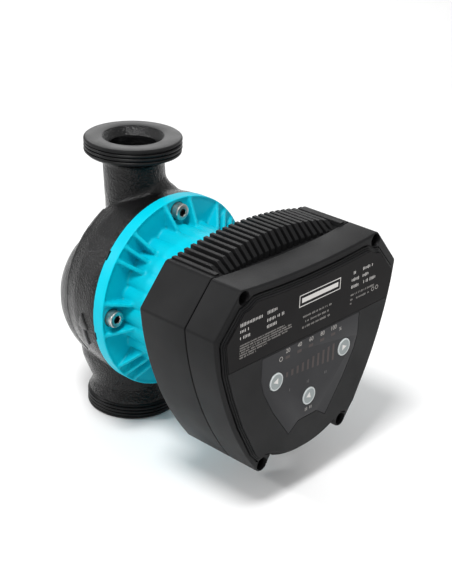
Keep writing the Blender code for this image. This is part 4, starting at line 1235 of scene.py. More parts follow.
@dataclass
class MotorFrame:
    """The painted flange and barrel, with ribs round the screws."""

    flange_radius: float = 60.5
    back_reach: float = 30.3
    face_reach: float = 38.2
    rim_reach: float = 38.8
    rim_width: float = 1.1
    valley_radius: float = 42.8
    lobe_height: float = 2.4
    lobe_count: int = 24
    bore_radius: float = 40.3
    front_reach: float = 87.3
    rib_thickness: float = 2.3
    rib_turns: tuple[float, ...] = (-10, 10, 36, 45, 54)
    seat_reach: float = 37.0
    notch_angles: tuple[float, ...] = (143.5, 192.4, 323.5, 12.4)
    voxel: float = 0.7
    smoothing: int = 2

    def barrel(self) -> bpy.types.Mesh:
        """The barrel, whose lobes are deep at the flange and fade towards the box.

        Returns:
            A closed mesh.
        """
        sections = []
        for reach in (32, 40, 46, 50, 54, 58, 62, 68, 76, self.front_reach):
            fade = 1.0 - 0.8 * min(max((reach - 43) / 14, 0.0), 1.0)
            outline = []
            for i in range(self.lobe_count * 12):
                angle = 30 * i / self.lobe_count
                lobe = abs(math.cos(math.radians(angle * self.lobe_count / 2))) ** 0.7
                base = self.valley_radius + self.lobe_height * (0.35 * (1 - fade))
                outline.append(round_axis(base + self.lobe_height * fade * lobe, angle))
            sections.append((outline, reach))
        return loft(sections)

    def ribs(self, ring: Graph) -> list[bpy.types.Mesh]:
        """Ribs each side of every screw and three halfway between screws.

        Args:
            ring: The graph that repeats a shape round an axis.

        Returns:
            Closed meshes that overlap the flange and the barrel.
        """
        half = self.rib_thickness / 2
        upright = Matrix.Rotation(math.pi / 2, 4, "X")
        rib = prism([(41.5, 37.0), (59.9, 37.0), (59.9, 38.5), (47.0, 46.6), (44.0, 48.0), (41.5, 48.0)],
                    -half, half, upright)
        result = []
        with Shape(rib) as shape:
            for first in self.rib_turns:
                result.append(ring.grow(Shape=shape, Count=4, Radius=0.0, First_Angle=math.radians(first),
                                        Finish=TURQUOISE.material()))
        return result

    def build(self, ring: Graph) -> None:
        """Makes the painted frame and puts it in place.

        Args:
            ring: The graph that repeats a shape round an axis.
        """
        flange = turned([
            (30, self.face_reach), (self.flange_radius - self.rim_width, self.face_reach),
            (self.flange_radius - self.rim_width + 0.3, self.rim_reach),
            (self.flange_radius - 0.3, self.rim_reach), (self.flange_radius, self.rim_reach - 0.3),
            (self.flange_radius, self.back_reach), (30, self.back_reach)], 160)
        core = rod(36, self.back_reach + 1, self.front_reach - 1)
        skin = fused([flange, core, self.barrel(), *self.ribs(ring)], self.voxel, self.smoothing)
        cutters = [turned([(0, self.front_reach - 3), (self.bore_radius, self.front_reach - 3),
                           (self.bore_radius, 20), (0, 20)], 96)]
        cutters.append(rod(12, self.front_reach - 5, self.front_reach + 3))
        for i in range(4):
            centre = round_axis(SCREW_CIRCLE, 90 * i)
            cutters.append(turned([(0, 50), (5.75, 50), (5.75, self.seat_reach), (3.4, self.seat_reach),
                                   (3.4, 20), (0, 20)], 40,
                                  AXIS_FRAME @ Matrix.Translation((centre[0] * MM, centre[1] * MM, 0))))
        for angle in self.notch_angles:
            turn = AXIS_FRAME @ Matrix.Rotation(math.radians(angle), 4, "Z")
            cutters.append(slab((self.flange_radius - 1.8, -3, 20), (70, 3, self.back_reach + 1.6), turn))
        body = combined(skin, [merged(cutters)], Cut.AWAY)
        body = shaded(body, TURQUOISE.material(), PAINTED_ANGLE)
        install("motor_frame", body, Body.PUMP, "turquoise", "motor_housing")


@dataclass
class SocketScrews:
    """Socket-head screws: four round the flange and four in the cover's wells."""

    head_radius: float = 5.0
    head_height: float = 5.9
    seat: float = 37.2
    tip: float = 18.0
    tooth_count: int = 44

    def screw(self, radius: float, height: float, shank: float, seat: float, tip: float, socket: float,
              face: Finish) -> bpy.types.Mesh:
        """One screw about its own axis.

        Args:
            radius: Radius of the head.
            height: Height of the head.
            shank: Radius of the shank.
            seat: Reach of the head's underside.
            tip: Reach of the tip.
            socket: Radius of the socket's corners.
            face: Finish of the screw.

        Returns:
            The screw, with its hexagonal socket painted dark as shade.
        """
        top = seat + height
        ease = radius * 0.12
        body = turned([
            (0, top), (radius - ease * 1.6, top), (radius - ease * 0.6, top - ease * 0.25),
            (radius, top - ease), (radius, seat + 0.4), (radius - 0.4, seat), (shank, seat),
            (shank, tip + 0.6), (shank - 0.6, tip), (0, tip)], 64, Matrix.Identity(4))
        hexagon = rod(socket, top - height * 0.55, top + 1, sides=6, place=Matrix.Identity(4))
        lead = turned([(0, top + 1), (socket + 1.0, top + 1), (socket - 0.3, top - 0.4), (0, top - 0.4)],
                      48, Matrix.Identity(4))
        body = combined(body, [hexagon, lead], Cut.AWAY)
        shaded(body, face.material(), math.radians(30))
        body.materials.append(DARK_STEEL_AND_SOCKET_SHADE.material())
        # Painted shade: the socket's walls and floor take the dark steel finish.
        for polygon in body.polygons:
            middle = polygon.center / MM
            if seat + 0.3 < middle.z < top - 0.5 and middle.xy.length < socket + 0.2:
                polygon.material_index = 1
        return body

    def build(self, ring: Graph) -> None:
        """Makes both sets of screws and puts them in place.

        Args:
            ring: The graph that repeats a shape round an axis.
        """
        big = self.screw(self.head_radius, self.head_height, 3.0, self.seat, self.tip, 2.6, ZINC)
        tooth = slab((-0.15, -0.17, self.seat + 0.5), (0.12, 0.17, self.seat + self.head_height - 1.0),
                     Matrix.Identity(4))
        with Shape(tooth) as shape:
            knurl = ring.grow(Matrix.Identity(4), Shape=shape, Count=self.tooth_count,
                              Radius=self.head_radius * MM, First_Angle=0.0, Finish=KNURLED.material())
        with Shape(merged([big, knurl])) as shape:
            screws = ring.grow(Shape=shape, Count=4, Radius=SCREW_CIRCLE * MM, First_Angle=0.0)
        install("flange_screws", screws, Body.PUMP, "zinc", *[f"flange_screw_{i}" for i in range(1, 5)])
        small = self.screw(3.4, 2.6, 1.9, 128.3, 110.0, 1.6, DARK_STEEL_AND_SOCKET_SHADE)
        sets = []
        with Shape(small) as shape:
            for x, y in (UPPER_BOSS, LOWER_BOSS):
                angle = math.atan2(y, x)
                for first in (angle, math.pi - angle):
                    sets.append(ring.grow(Shape=shape, Count=1, Radius=math.hypot(x, y) * MM,
                                          First_Angle=first))
        install("cover_screws", merged(sets), Body.PUMP, "zinc", *[f"cover_screw_{i}" for i in range(1, 5)])


# ---- Control box ----

@dataclass
class BoxOutline:
    """The control box seen from the front, with the outlines that follow from it."""

    top_centre: float = 52.0
    top_corner: Point = (58.0, 55.0)
    shoulder: Point = (77.48, 32.0)
    flank_middle: Point = (68.2, -8.4)
    flank_end: Point = (39.6, -61.9)
    boss_radius: float = 4.8
    chin_radius: float = 64.0
    chin_half_width: float = 25.6
    chin_notch: Point = (27.4, -56.6)
    wall: float = 3.2
    side: tuple[Point, ...] = ((48.6, 48.9), (54.6, 45.6), (58.8, 44.8), (72.2, 29.6), (72.8, 27.4),
                               (70.2, 9.2), (65.0, -6.8), (57.0, -26.8), (44.8, -50.0), (39.2, -56.0),
                               (34.0, -53.6), (28.6, -55.4))
    label_side: tuple[Point, ...] = ((47.8, 46.6), (53.8, 43.6), (57.6, 43.0), (70.0, 29.2), (70.6, 27.5),
                                     (68.3, 11.4))
    panel_side: tuple[Point, ...] = ((42.0, 10.2), (42.0, -4.0), (39.5, -12.0), (30.6, -27.5),
                                     (16.3, -47.2), (8.2, -41.6))

    def top(self, drop: float = 0.0, half_width: float = 58.0, count: int = 16) -> list[Point]:
        """The hollow curve of the top edge, from the middle towards the corner.

        Args:
            drop: How far below the box's own edge the curve runs.
            half_width: How far out it goes.
            count: Steps along it.

        Returns:
            The points.
        """
        rise = self.top_corner[1] - self.top_centre
        xs = [half_width * i / count for i in range(count + 1)]
        return [(x, self.top_centre - drop + rise * (x / self.top_corner[0]) ** 2) for x in xs]

    def chin(self, radius: float, half_width: float, count: int = 16) -> list[Point]:
        """The round bottom edge, from its end to the middle."""
        end = math.degrees(math.asin(half_width / radius)) - 90
        return arc((0, 0), radius, end, -90, count)

    def flank(self, count: int = 36) -> list[Point]:
        """The bowed side, from below the shoulder to the lower boss."""
        return arc_through(self.shoulder, self.flank_middle, self.flank_end, count)[1:]

    def outer(self, notched: bool) -> list[Point]:
        """The whole outline, with or without the notches beside the lower bosses.

        Args:
            notched: Whether the notches are cut.

        Returns:
            The outline.
        """
        top = self.top(half_width=self.top_corner[0] - 3.0)
        corners = rounded([top[-1], self.top_corner, self.shoulder, self.flank_middle], 3.0)[1:-1]
        boss = arc(LOWER_BOSS, self.boss_radius, -25, -145, 16)
        notch = [self.chin_notch] if notched else []
        return mirrored(top + corners + self.flank()[3:] + boss + notch
                        + self.chin(self.chin_radius, self.chin_half_width))

    def cavity(self) -> list[Point]:
        """The space inside, clear of the lower bosses."""
        return inset(mirrored(self.top(count=8) + [self.shoulder] + self.flank(18)
                              + self.chin(self.chin_radius, self.chin_half_width, 8)), self.wall)

    def plateau(self, offset: float = 0.0) -> list[Point]:
        """The raised middle of the cover's face, drawn in by an offset."""
        sharp = mirrored(self.top(4.8, 44.0) + list(self.side) + self.chin(self.chin_radius - 1.4, 23.0))
        return softened(inset(sharp, offset), 0.9)

    def label(self, offset: float = 0.0) -> list[Point]:
        """The rating plate, notched round the upper screws, drawn in by an offset."""
        return softened(inset(mirrored(self.top(7.4, 40.0) + list(self.label_side)), offset), 0.7)

    def panel(self, offset: float = 0.0) -> list[Point]:
        """The control panel, cut away at the bottom, drawn in by an offset."""
        return softened(inset(mirrored([(0.0, 10.2), *self.panel_side]), offset), 0.6)

    def bosses(self) -> list[Point]:
        """Where the cover's screws stand."""
        return [(side * x, y) for x, y in (UPPER_BOSS, LOWER_BOSS) for side in (-1, 1)]


@dataclass
class FinnedShell:
    """The rear half of the box with its comb of cooling fins."""

    outline: BoxOutline = field(default_factory=BoxOutline)
    back_reach: float = 87.6
    rim_reach: float = 121.5
    fin_count: int = 20
    fin_pitch: float = 5.0
    fin_width: float = 2.7
    bend_reach: float = 112.4
    foot_reach: float = 119.4
    crown_height: float = 61.3
    arch_radius: float = 215.0
    root_height: float = 49.4
    shortening: float = 0.1
    bevel: float = 0.25
    pad_low: tuple[float, float, float] = (10, -66, 96.5)
    pad_high: tuple[float, float, float] = (30, -56.5, 115.5)
    trough_side: tuple[Point, ...] = ((0.0, 56.0), (40, 57.2), (50.2, 58.0), (50.6, 52.6), (40, 50.7),
                                      (0.0, 49.1))

    def fins(self, row: Graph) -> bpy.types.Mesh:
        """The comb of fins, each with a flat top that slopes down at the front.

        Args:
            row: The graph that repeats a shape under an arch.

        Returns:
            The dressed comb.
        """
        half = self.fin_width / 2
        bend = self.bend_reach - self.back_reach
        foot = self.foot_reach - self.back_reach
        profile = [(0, 0), (0, 0.985), (0.5, 1.0), (bend, 1.0), (foot - 0.4, 0.42), (foot, 0.36), (foot, 0)]
        shape = bmesh.new()
        rings = []
        for x, lower in ((-half, 0.022), (-half + 0.3, 0.0), (half - 0.3, 0.0), (half, 0.022)):
            rings.append([shape.verts.new((x * MM, max(y - lower, 0.0), z * MM)) for z, y in profile])
        for first, second in zip(rings, rings[1:]):
            for i in range(len(first)):
                j = (i + 1) % len(first)
                shape.faces.new((first[i], first[j], second[j], second[i]))
        shape.faces.new(rings[0])
        shape.faces.new(rings[-1])
        outward(shape)
        with Shape(as_mesh("fin", shape)) as fin:
            comb = row.grow(Shape=fin, Count=self.fin_count, Pitch=self.fin_pitch * MM,
                            Root_Height=self.root_height * MM, Crown_Height=self.crown_height * MM,
                            Arch_Radius=self.arch_radius * MM, Back=self.back_reach * MM,
                            Shortening=self.shortening, Finish=CHARCOAL.material())
        return shaded(comb, CHARCOAL.material(), math.radians(20))

    def side_ledges(self) -> list[bpy.types.Mesh]:
        """The low ledge that ends the comb at each side.

        Returns:
            The two dressed ledges.
        """
        ledges = []
        for side in (-1, 1):
            outline = [(side * x, y) for x, y in ((50.9, 53.0), (50.9, 55.1), (51.3, 55.5), (53.9, 55.6),
                                                  (54.3, 55.3), (54.3, 53.0))]
            ledges.append(shaded(prism(outline, self.back_reach + 1.0, self.rim_reach - 0.6),
                                 CHARCOAL.material()))
        return ledges

    def build(self, row: Graph) -> None:
        """Makes the shell and puts it in place.

        Args:
            row: The graph that repeats a shape under an arch.
        """
        outline = self.outline.outer(False)
        quarter = [math.radians(90 * i / 5) for i in range(6)]
        sections = [(inset(outline, 1.2 - 1.2 * math.sin(a)), self.back_reach + 1.2 - 1.2 * math.cos(a))
                    for a in quarter]
        sections += [(outline, self.rim_reach - 0.3), (inset(outline, 0.3), self.rim_reach)]
        shell = loft(sections)
        cutters = [prism(self.outline.cavity(), self.back_reach + 3.2, self.rim_reach + 4)]
        pad = slab(self.pad_low, self.pad_high)
        shell = combined(shell, [pad], Cut.JOIN)
        cutters.append(rod(6.3, -75, -50, (GLAND_X, -GLAND_REACH), place=PORT_FRAME))
        cutters.append(rod(13, self.back_reach - 3, self.back_reach + 5))
        shell = combined(shell, cutters, Cut.AWAY)
        trough = prism(mirrored(self.trough_side), self.foot_reach - 5.4, self.rim_reach + 1.0)
        shell = combined(shell, [trough], Cut.AWAY)
        shell = shaded(eased(shell, self.bevel), CHARCOAL.material())
        parts = [shell, self.fins(row), *self.side_ledges()]
        for x, y in self.outline.bosses():
            place = AXIS_FRAME @ Matrix.Translation((x * MM, y * MM, 0))
            boss = turned([(4.3, self.rim_reach - 0.3), (4.3, 88.6), (2.2, 88.6),
                           (2.2, self.rim_reach - 0.3)], 32, place)
            parts.append(shaded(boss, CHARCOAL.material()))
        install("finned_shell", merged(parts), Body.PUMP, "charcoal", "rear_shell")


@dataclass
class Cover:
    """The front half of the box with its stepped face, recesses and screw wells."""

    outline: BoxOutline = field(default_factory=BoxOutline)
    back_reach: float = 122.1
    face_reach: float = 143.3
    edge: float = 1.3
    step: float = 0.85
    step_count: int = 3
    bevel: float = 0.16
    key_hole: float = 5.75

    def blank(self) -> bpy.types.Mesh:
        """The plain cover: a solid with a rounded front edge.

        Returns:
            A closed mesh.
        """
        outer = self.outline.outer(True)
        quarter = [math.radians(90 * i / 5) for i in range(6)]
        sections = [(inset(outer, 0.35), self.back_reach), (outer, self.back_reach + 0.35)]
        sections += [(inset(outer, self.edge * (1 - math.cos(a))),
                      self.face_reach - self.edge + self.edge * math.sin(a)) for a in quarter]
        return loft(sections)

    def tiers(self) -> bpy.types.Mesh:
        """The raised middle of the face, which rises in low steps.

        Returns:
            A closed mesh.
        """
        plateau = self.outline.plateau
        rise = (FACE_TOP - self.face_reach) / self.step_count
        sections = [(plateau(), self.face_reach - 1)]
        for i in range(self.step_count):
            ledge = self.face_reach + rise * (i + 1)
            sections += [(plateau(self.step * i), ledge - 0.2), (plateau(self.step * i + 0.2), ledge)]
            if i < self.step_count - 1:
                sections.append((plateau(self.step * (i + 1)), ledge))
        return loft(sections)

    def cutters(self) -> list[bpy.types.Mesh]:
        """The inside, the recesses, the lamps' window, the key holes and the screw wells.

        Returns:
            Closed meshes to cut away.
        """
        cutters = [prism(self.outline.cavity(), self.back_reach - 4, self.face_reach - 3.0),
                   prism(self.outline.panel(-0.3), FACE_TOP - 1.2, FACE_TOP + 3),
                   prism(self.outline.label(-0.3), FACE_TOP - 0.6, FACE_TOP + 3.5),
                   slab((-24, -1, self.face_reach - 8), (24, 6, FACE_TOP + 2))]
        cutters += [rod(self.key_hole, self.face_reach - 8, FACE_TOP + 2, place) for place in KEY_PLACES]
        for place in self.wells():
            cutters.append(turned([(0, 150), (4.5, 150), (4.1, self.face_reach - 0.2), (3.8, 142.6),
                                   (3.8, 128), (2.3, 128), (2.3, 118), (0, 118)], 40, place))
        return cutters

    def wells(self) -> list[Matrix]:
        """The frames of the four screw wells."""
        return [AXIS_FRAME @ Matrix.Translation((x * MM, y * MM, 0)) for x, y in self.outline.bosses()]

    def build(self) -> None:
        """Makes the cover and puts it in place."""
        groove = combined(prism(self.outline.plateau(-0.9), self.face_reach - 0.8, self.face_reach + 5),
                          [prism(self.outline.plateau(), self.face_reach - 2, self.face_reach + 9)],
                          Cut.AWAY)
        cover = combined(combined(self.blank(), [groove], Cut.AWAY), [self.tiers()], Cut.JOIN)
        cover = combined(cover, self.cutters(), Cut.AWAY)
        parts = [shaded(eased(cover, self.bevel), CHARCOAL.material())]
        for place in self.wells():
            boss = turned([(4.4, 141.0), (4.4, 122.4), (2.3, 122.4), (2.3, 128.0), (3.8, 128.0),
                           (3.8, 141.0)], 40, place)
            parts.append(shaded(boss, CHARCOAL.material()))
        install("cover_face", merged(parts), Body.PUMP, "charcoal", "front_cover")


@dataclass
class Printer:
    """Prints flat marks, as thin raised ink, at one reach of the box's face."""

    reach: float
    ticks: Graph
    thickness: float = 0.04
    sink: float = 0.02
    tick_pitch: float = 0.56
    tick_width: float = 0.36
    marks: list[bpy.types.Mesh] = field(default_factory=list)

    def flat(self, outline: Sequence[Point], ink: Finish) -> None:
        """Prints a filled outline."""
        mesh = prism(outline, self.reach - self.sink, self.reach + self.thickness)
        self.marks.append(shaded(mesh, ink.material()))

    def bar(self, x: float, y: float, width: float, height: float, ink: Finish) -> None:
        """Prints a bar from its lower left corner."""
        self.flat([(x, y), (x + width, y), (x + width, y + height), (x, y + height)], ink)

    def line(self, x: float, y: float, length: float, height: float, ink: Finish) -> None:
        """Prints a line of ticks in place of words, centred in height on a point at its left end.

        Args:
            x: Left end of the line.
            y: Middle of its height.
            length: Its length.
            height: Height of the tallest tick.
            ink: Its finish.
        """
        pitch = height * self.tick_pitch
        place = AXIS_FRAME @ Matrix.Translation((x * MM, y * MM, self.reach * MM))
        self.marks.append(self.ticks.grow(
            place, Count=max(round(length / pitch), 2), Pitch=pitch * MM,
            Width=pitch * self.tick_width * MM, Height=height * MM, Depth=2 * self.thickness * MM,
            Seed=len(self.marks), Finish=ink.material()))

    def ring(self, x: float, y: float, radius: float, line: float, ink: Finish) -> None:
        """Prints a circle of a given line.

        Args:
            x: Middle of the circle, across.
            y: Middle of the circle, up.
            radius: Its outer radius.
            line: The line's width.
            ink: Its finish.
        """
        top = self.reach + self.thickness
        low = self.reach - self.sink
        mesh = turned([(radius, top), (radius - line, top), (radius - line, low), (radius, low)], 28,
                      AXIS_FRAME @ Matrix.Translation((x * MM, y * MM, 0)))
        self.marks.append(shaded(mesh, ink.material()))

    def number(self, words: str, x: float, y: float, size: float, ink: Finish) -> None:
        """Prints the numbers of a dial, centred on a point.

        Args:
            words: What to print.
            x: Middle of the number, across.
            y: Middle of the number, up.
            size: Height of the type.
            ink: Its finish.
        """
        curve = bpy.data.curves.new("number", "FONT")
        curve.body = words
        curve.size = size * MM
        curve.align_x = "CENTER"
        curve.align_y = "CENTER"
        curve.extrude = self.thickness / 2 * MM
        holder = bpy.data.objects.new("number", curve)
        bpy.context.scene.collection.objects.link(holder)
        graph = bpy.context.evaluated_depsgraph_get()
        mesh = bpy.data.meshes.new_from_object(holder.evaluated_get(graph))
        bpy.data.objects.remove(holder)
        mesh.transform(AXIS_FRAME @ Matrix.Translation((x * MM, y * MM, (self.reach + self.sink / 2) * MM)))
        self.marks.append(shaded(mesh, ink.material()))


@dataclass
class FrontTrim:
    """The rating plate, the control panel and what is printed on them."""

    ticks: Graph
    outline: BoxOutline = field(default_factory=BoxOutline)
    large_lines: tuple[tuple[float, float, float], ...] = (
        (-60.4, 37.0, 18.0), (-60.4, 33.3, 6.5), (-60.4, 29.5, 8.0), (-39.4, 37.4, 9.4),
        (-39.4, 32.9, 14.0), (-39.4, 29.1, 8.4), (34.0, 37.5, 2.6), (42.6, 37.5, 9.8),
        (32.6, 33.2, 7.4), (42.6, 33.2, 5.6), (32.6, 28.9, 7.4), (42.6, 28.9, 12.4))
    small_lines: tuple[tuple[float, float, float], ...] = (
        (-9.4, 24.5, 25.2), (-7.2, 21.2, 20.6), (-9.6, 18.0, 25.2), (32.6, 23.8, 22.8),
        (32.6, 20.9, 3.4), (38.0, 20.6, 12.0), (32.6, 18.4, 1.8))
    fine_lengths: tuple[float, ...] = (36.0, 41.0, 41.5, 38.5, 22.0, 13.0)
    fine_start: Point = (-60.4, 25.0)
    fine_spacing: float = 1.45
    print_heights: tuple[float, float, float] = (2.1, 1.35, 1.05)
    frame_corner: Point = (-13.6, 31.4)
    frame_size: Point = (35.6, 7.2)
    frame_line: float = 0.5
    bar_margin: float = 2.2
    scale: tuple[str, ...] = ("20", "40", "60", "80", "100")
    scale_start: Point = (-20.8, 8.0)
    scale_pitch: float = 9.9
    window: Point = (3.6, 1.7)
    bar_count: int = 10
    bar_pitch: float = 4.5
    bar_width: float = 1.7
    symbols: tuple[Point, ...] = ((-17.5, -18.0), (-2.2, -18.6), (13.4, -18.6))

    def label(self) -> None:
        """Makes the rating plate with lines of ticks in place of its words."""
        top = FACE_TOP + 0.1
        plate = loft([(self.outline.label(), FACE_TOP - 0.3), (self.outline.label(), top - 0.08),
                      (self.outline.label(0.08), top)])
        printer = Printer(top, self.ticks)
        for x, y, length in self.large_lines:
            printer.line(x, y, length, self.print_heights[0], WHITE_INK)
        for x, y, length in self.small_lines:
            printer.line(x, y, length, self.print_heights[1], GREY_INK)
        for row, length in enumerate(self.fine_lengths):
            printer.line(self.fine_start[0], self.fine_start[1] - self.fine_spacing * row, length,
                         self.print_heights[2], GREY_INK)
        for x in (53.2, 57.0):
            printer.ring(x, 21.4, 1.35, 0.35, GREY_INK)
        self.nameplate(printer)
        mesh = merged([shaded(plate, LABEL.material()), *printer.marks])
        install("rating_plate", mesh, Body.PUMP, "label", "rating_label")

    def nameplate(self, printer: Printer) -> None:
        """Prints a blank nameplate: a plain frame round a plain bar.

        Args:
            printer: What prints on the rating plate.
        """
        left, low = self.frame_corner
        width, height = self.frame_size
        line = self.frame_line
        printer.bar(left, low, width, line, WHITE_INK)
        printer.bar(left, low + height - line, width, line, WHITE_INK)
        printer.bar(left, low + line, line, height - 2 * line, WHITE_INK)
        printer.bar(left + width - line, low + line, line, height - 2 * line, WHITE_INK)
        margin = self.bar_margin
        printer.bar(left + margin, low + margin, width - 2 * margin, height - 2 * margin, WHITE_INK)

    def panel(self) -> None:
        """Makes the control panel with its scale, windows, bars and plain symbols."""
        outline = self.outline.panel
        film = loft([(outline(), FACE_TOP - 0.9), (outline(), FACE_TOP - 0.12),
                     (outline(0.12), FACE_TOP)])
        film = combined(film, [rod(5.7, 140, 150, place) for place in KEY_PLACES], Cut.AWAY)
        printer = Printer(FACE_TOP, self.ticks)
        left, line = self.scale_start
        for i, text in enumerate(self.scale):
            middle = left + self.scale_pitch * i
            printer.number(text, middle, line, 3.7, GREY_INK)
            printer.bar(middle - self.window[0] / 2, line - 4.8, *self.window, FAINT_INK)
        printer.number("%", 25.2, 5.2, 3.2, GREY_INK)
        printer.ring(-26.4, 4.7, 1.45, 0.4, GREY_INK)
        for i in range(self.bar_count):
            foot = -8.6 - 0.5 * i
            head = -5.6 + 0.34 * i
            printer.bar(-21.4 + self.bar_pitch * i, foot, self.bar_width, head - foot, FAINT_INK)
        for x, y in self.symbols:
            printer.line(x, y, 2.9, 2.2, DIM_INK)
        printer.line(-3.6, -36.8, 8.2, 2.3, GREY_INK)
        mesh = merged([shaded(eased(film, 0.05, 1), PANEL.material()), *printer.marks])
        install("panel_film", mesh, Body.PUMP, "panel", "control_panel")


@dataclass
class KeyCap:
    """One push button: a dished cap with a paler rim and an arrowhead."""

    node: str
    body: Body
    centre: Point
    arrow_turn: float
    radius: float = 5.4
    top: float = 146.3
    flange_radius: float = 7.2
    flange_reach: float = 140.0
    flange_thickness: float = 1.4
    stem_reach: float = 136.9
    arrow_radius: float = 2.3

    def build(self) -> None:
        """Makes the cap and puts it in place."""
        place = AXIS_FRAME @ Matrix.Translation((self.centre[0] * MM, self.centre[1] * MM, 0))
        back = self.flange_reach - self.flange_thickness
        cap = turned([
            (0, self.top - 0.28), (4.0, self.top - 0.22), (4.45, self.top - 0.14), (4.55, self.top - 0.03),
            (4.7, self.top), (5.0, self.top), (5.28, self.top - 0.1), (self.radius, self.top - 0.35),
            (self.radius, self.flange_reach), (self.flange_radius, self.flange_reach),
            (self.flange_radius, back), (2.0, back), (2.0, self.stem_reach), (0, self.stem_reach)],
            72, place)
        shaded(cap, BUTTON.material(), math.radians(28))
        cap.materials.append(BUTTON_RING.material())
        middle = place.translation
        for polygon in cap.polygons:
            offset = (polygon.center - middle) / MM
            across = math.hypot(offset.x, offset.z)
            if across > 4.5 and -offset.y > self.top - 0.4:
                polygon.material_index = 1
        arrow = [round_axis(self.arrow_radius, self.arrow_turn + turn) for turn in (0, 128, 232)]
        mark = prism([(self.centre[0] + x, self.centre[1] + y) for x, y in arrow],
                     self.top - 0.32, self.top - 0.16)
        mesh = merged([cap, shaded(mark, WHITE_INK.material())])
        install(f"key_cap_{self.node}", mesh, self.body, "button", f"button_{self.node}")


@dataclass
class CableGland:
    """The cable gland under the box and its ribbed nut, both open for a cable."""

    rib_count: int = 24
    rib_circle: float = 7.78
    rib_radius: float = 0.42
    thread_turns: float = 3.0

    def build(self, ring: Graph, thread: Graph) -> None:
        """Makes the gland and its nut and puts them in place.

        Args:
            ring: The graph that repeats a shape round an axis.
            thread: The thread's graph.
        """
        place = PORT_FRAME @ Matrix.Translation((GLAND_X * MM, -GLAND_REACH * MM, 0))
        hexagon = turned([(8.5, -66.3), (8.5, -69.3), (8.2, -69.6), (5.0, -69.6), (5.0, -66.3)], 6, place)
        stem = turned([(6.0, -53.5), (6.0, -66.6), (5.3, -66.6), (5.3, -74.5), (3.8, -74.5), (3.8, -53.5)],
                      48, place)
        coil = thread.grow(place @ Matrix.Translation((0, 0, -74.2 * MM)), Turns=self.thread_turns,
                           Radius=5.1 * MM, Length=4.4 * MM, Ridge_Radius=0.5 * MM,
                           Finish=DARK_PLASTIC.material())
        parts = [shaded(hexagon, DARK_PLASTIC.material()), shaded(stem, DARK_PLASTIC.material()), coil]
        install("gland_body", merged(parts), Body.PUMP, "dark_plastic", "cable_gland")
        nut = turned([(7.6, -69.9), (7.9, -70.3), (7.9, -76.3), (6.9, -78.4), (6.0, -79.3), (4.6, -79.5),
                      (4.2, -79.2), (4.2, -75.2), (5.9, -75.2), (5.9, -69.9)], 72, place)
        rib = rod(self.rib_radius, -76.4, -70.4, sides=8, place=Matrix.Identity(4))
        with Shape(shaded(rib, DARK_PLASTIC.material())) as shape:
            ribs = ring.grow(place, Shape=shape, Count=self.rib_count, Radius=self.rib_circle * MM,
                             First_Angle=0.0, Finish=DARK_PLASTIC.material())
        install("gland_cap_nut", merged([shaded(nut, DARK_PLASTIC.material()), ribs]), Body.PUMP,
                "dark_plastic", "gland_nut")


# ---- Nodes that stay, and the studio ----

def dress_nodes() -> None:
    """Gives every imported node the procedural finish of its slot."""
    slots = {entry["node"]: entry["material_slot"] for entry in frame["record"]["subparts"]}
    for name, node in frame["nodes"].items():
        material = SLOT_FINISHES[slots[name]].material()
        for slot in node.material_slots:
            slot.material = material
    log.info("dressed %d nodes", len(frame["nodes"]))


@dataclass(frozen=True)
class Lamp:
    """One soft square light: its place and side in metres and its power in watts."""

    name: str
    place: tuple[float, float, float]
    size: float
    power: float


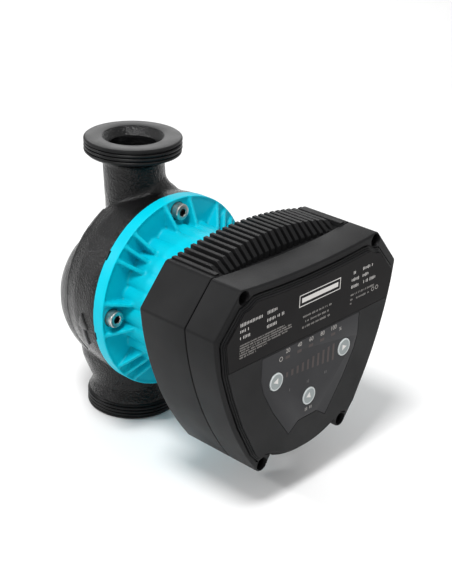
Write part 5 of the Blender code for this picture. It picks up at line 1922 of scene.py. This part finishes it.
@dataclass
class Studio:
    """A pale floor, soft light and the camera."""

    lamps: tuple[Lamp, ...] = (
        Lamp("key", (-0.6, -0.3, 1.5), 0.35, 19.0), Lamp("back left", (-1.0, 1.0, 0.9), 0.12, 7.0),
        Lamp("back right", (1.0, 0.95, 0.75), 0.9, 4.5), Lamp("front", (0.3, -1.6, 1.0), 0.8, 3.0))
    pump_middle: tuple[float, float, float] = (0, -0.05, 0.09)
    sky_strength: float = 0.6
    floor_size: float = 4.0
    floor_drop: float = 0.0002
    azimuth: float = -47.6
    elevation: float = 25.4
    roll: float = 1.9
    target: tuple[float, float, float] = (0.0214, -0.060, 0.0898)
    distance: float = 0.7686
    lens: float = 77.42
    sensor: float = 36.0

    def floor(self) -> None:
        """Lays the floor that the pump stands on."""
        shape = bmesh.new()
        bmesh.ops.create_grid(shape, x_segments=1, y_segments=1, size=self.floor_size)
        mesh = as_mesh("floor", shape, Matrix.Translation((0, 0, -self.floor_drop)))
        mesh.materials.append(STUDIO_FLOOR.material())
        floor = bpy.data.objects.new("floor", mesh)
        bpy.context.scene.collection.objects.link(floor)

    def hang(self, lamp: Lamp) -> None:
        """Hangs one lamp so that it faces the pump.

        Args:
            lamp: The lamp.
        """
        light = bpy.data.lights.new(lamp.name, "AREA")
        light.size = lamp.size
        light.energy = lamp.power
        holder = bpy.data.objects.new(lamp.name, light)
        holder.location = lamp.place
        aim = Vector(self.pump_middle) - Vector(lamp.place)
        holder.rotation_euler = aim.to_track_quat("-Z", "Y").to_euler()
        bpy.context.scene.collection.objects.link(holder)

    def camera(self) -> None:
        """Sets the camera."""
        around = math.radians(self.azimuth)
        above = math.radians(self.elevation)
        back = Vector((math.sin(around) * math.cos(above), -math.cos(around) * math.cos(above),
                       math.sin(above)))
        right = Vector((math.cos(around), math.sin(around), 0))
        turn = Matrix.Rotation(math.radians(self.roll), 3, back)
        right = turn @ right
        up = back.cross(right)
        data = bpy.data.cameras.new("camera")
        data.lens = self.lens
        data.sensor_width = self.sensor
        camera = bpy.data.objects.new("camera", data)
        place = Matrix((right, up, back)).transposed().to_4x4()
        place.translation = Vector(self.target) + back * self.distance
        camera.matrix_world = place
        bpy.context.scene.collection.objects.link(camera)
        bpy.context.scene.camera = camera

    def build(self) -> None:
        """Sets up the whole studio."""
        self.floor()
        for lamp in self.lamps:
            self.hang(lamp)
        world = bpy.data.worlds.new("studio")
        world.use_nodes = True
        sky = world.node_tree.nodes["Background"]
        sky.inputs["Color"].default_value = (1.0, 1.0, 1.0, 1.0)
        sky.inputs["Strength"].default_value = self.sky_strength
        bpy.context.scene.world = world
        bpy.context.scene.view_settings.view_transform = "Standard"
        self.camera()


def main() -> None:
    """Builds every piece in order."""
    logging.basicConfig(level=logging.INFO, format="%(name)s: %(message)s")
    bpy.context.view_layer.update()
    tone_group()
    grain_group()
    edge_group()
    ring = ring_graph()
    row = row_graph()
    thread = thread_graph()
    Studio().build()
    dress_nodes()
    Volute().build(thread, ridge_graph())
    MotorFrame().build(ring)
    SocketScrews().build(ring)
    FinnedShell().build(row)
    Cover().build()
    trim = FrontTrim(marks_graph())
    trim.label()
    trim.panel()
    for node, body, centre, arrow_turn in zip(
            ("left", "right", "auto"), (Body.LEFT_KEY, Body.RIGHT_KEY, Body.AUTO_KEY), KEY_PLACES,
            (180.0, 0.0, -45.0)):
        KeyCap(node, body, centre, arrow_turn).build()
    CableGland().build(ring, thread)
    log.info("sizes written")


if __name__ == "__main__":
    main()
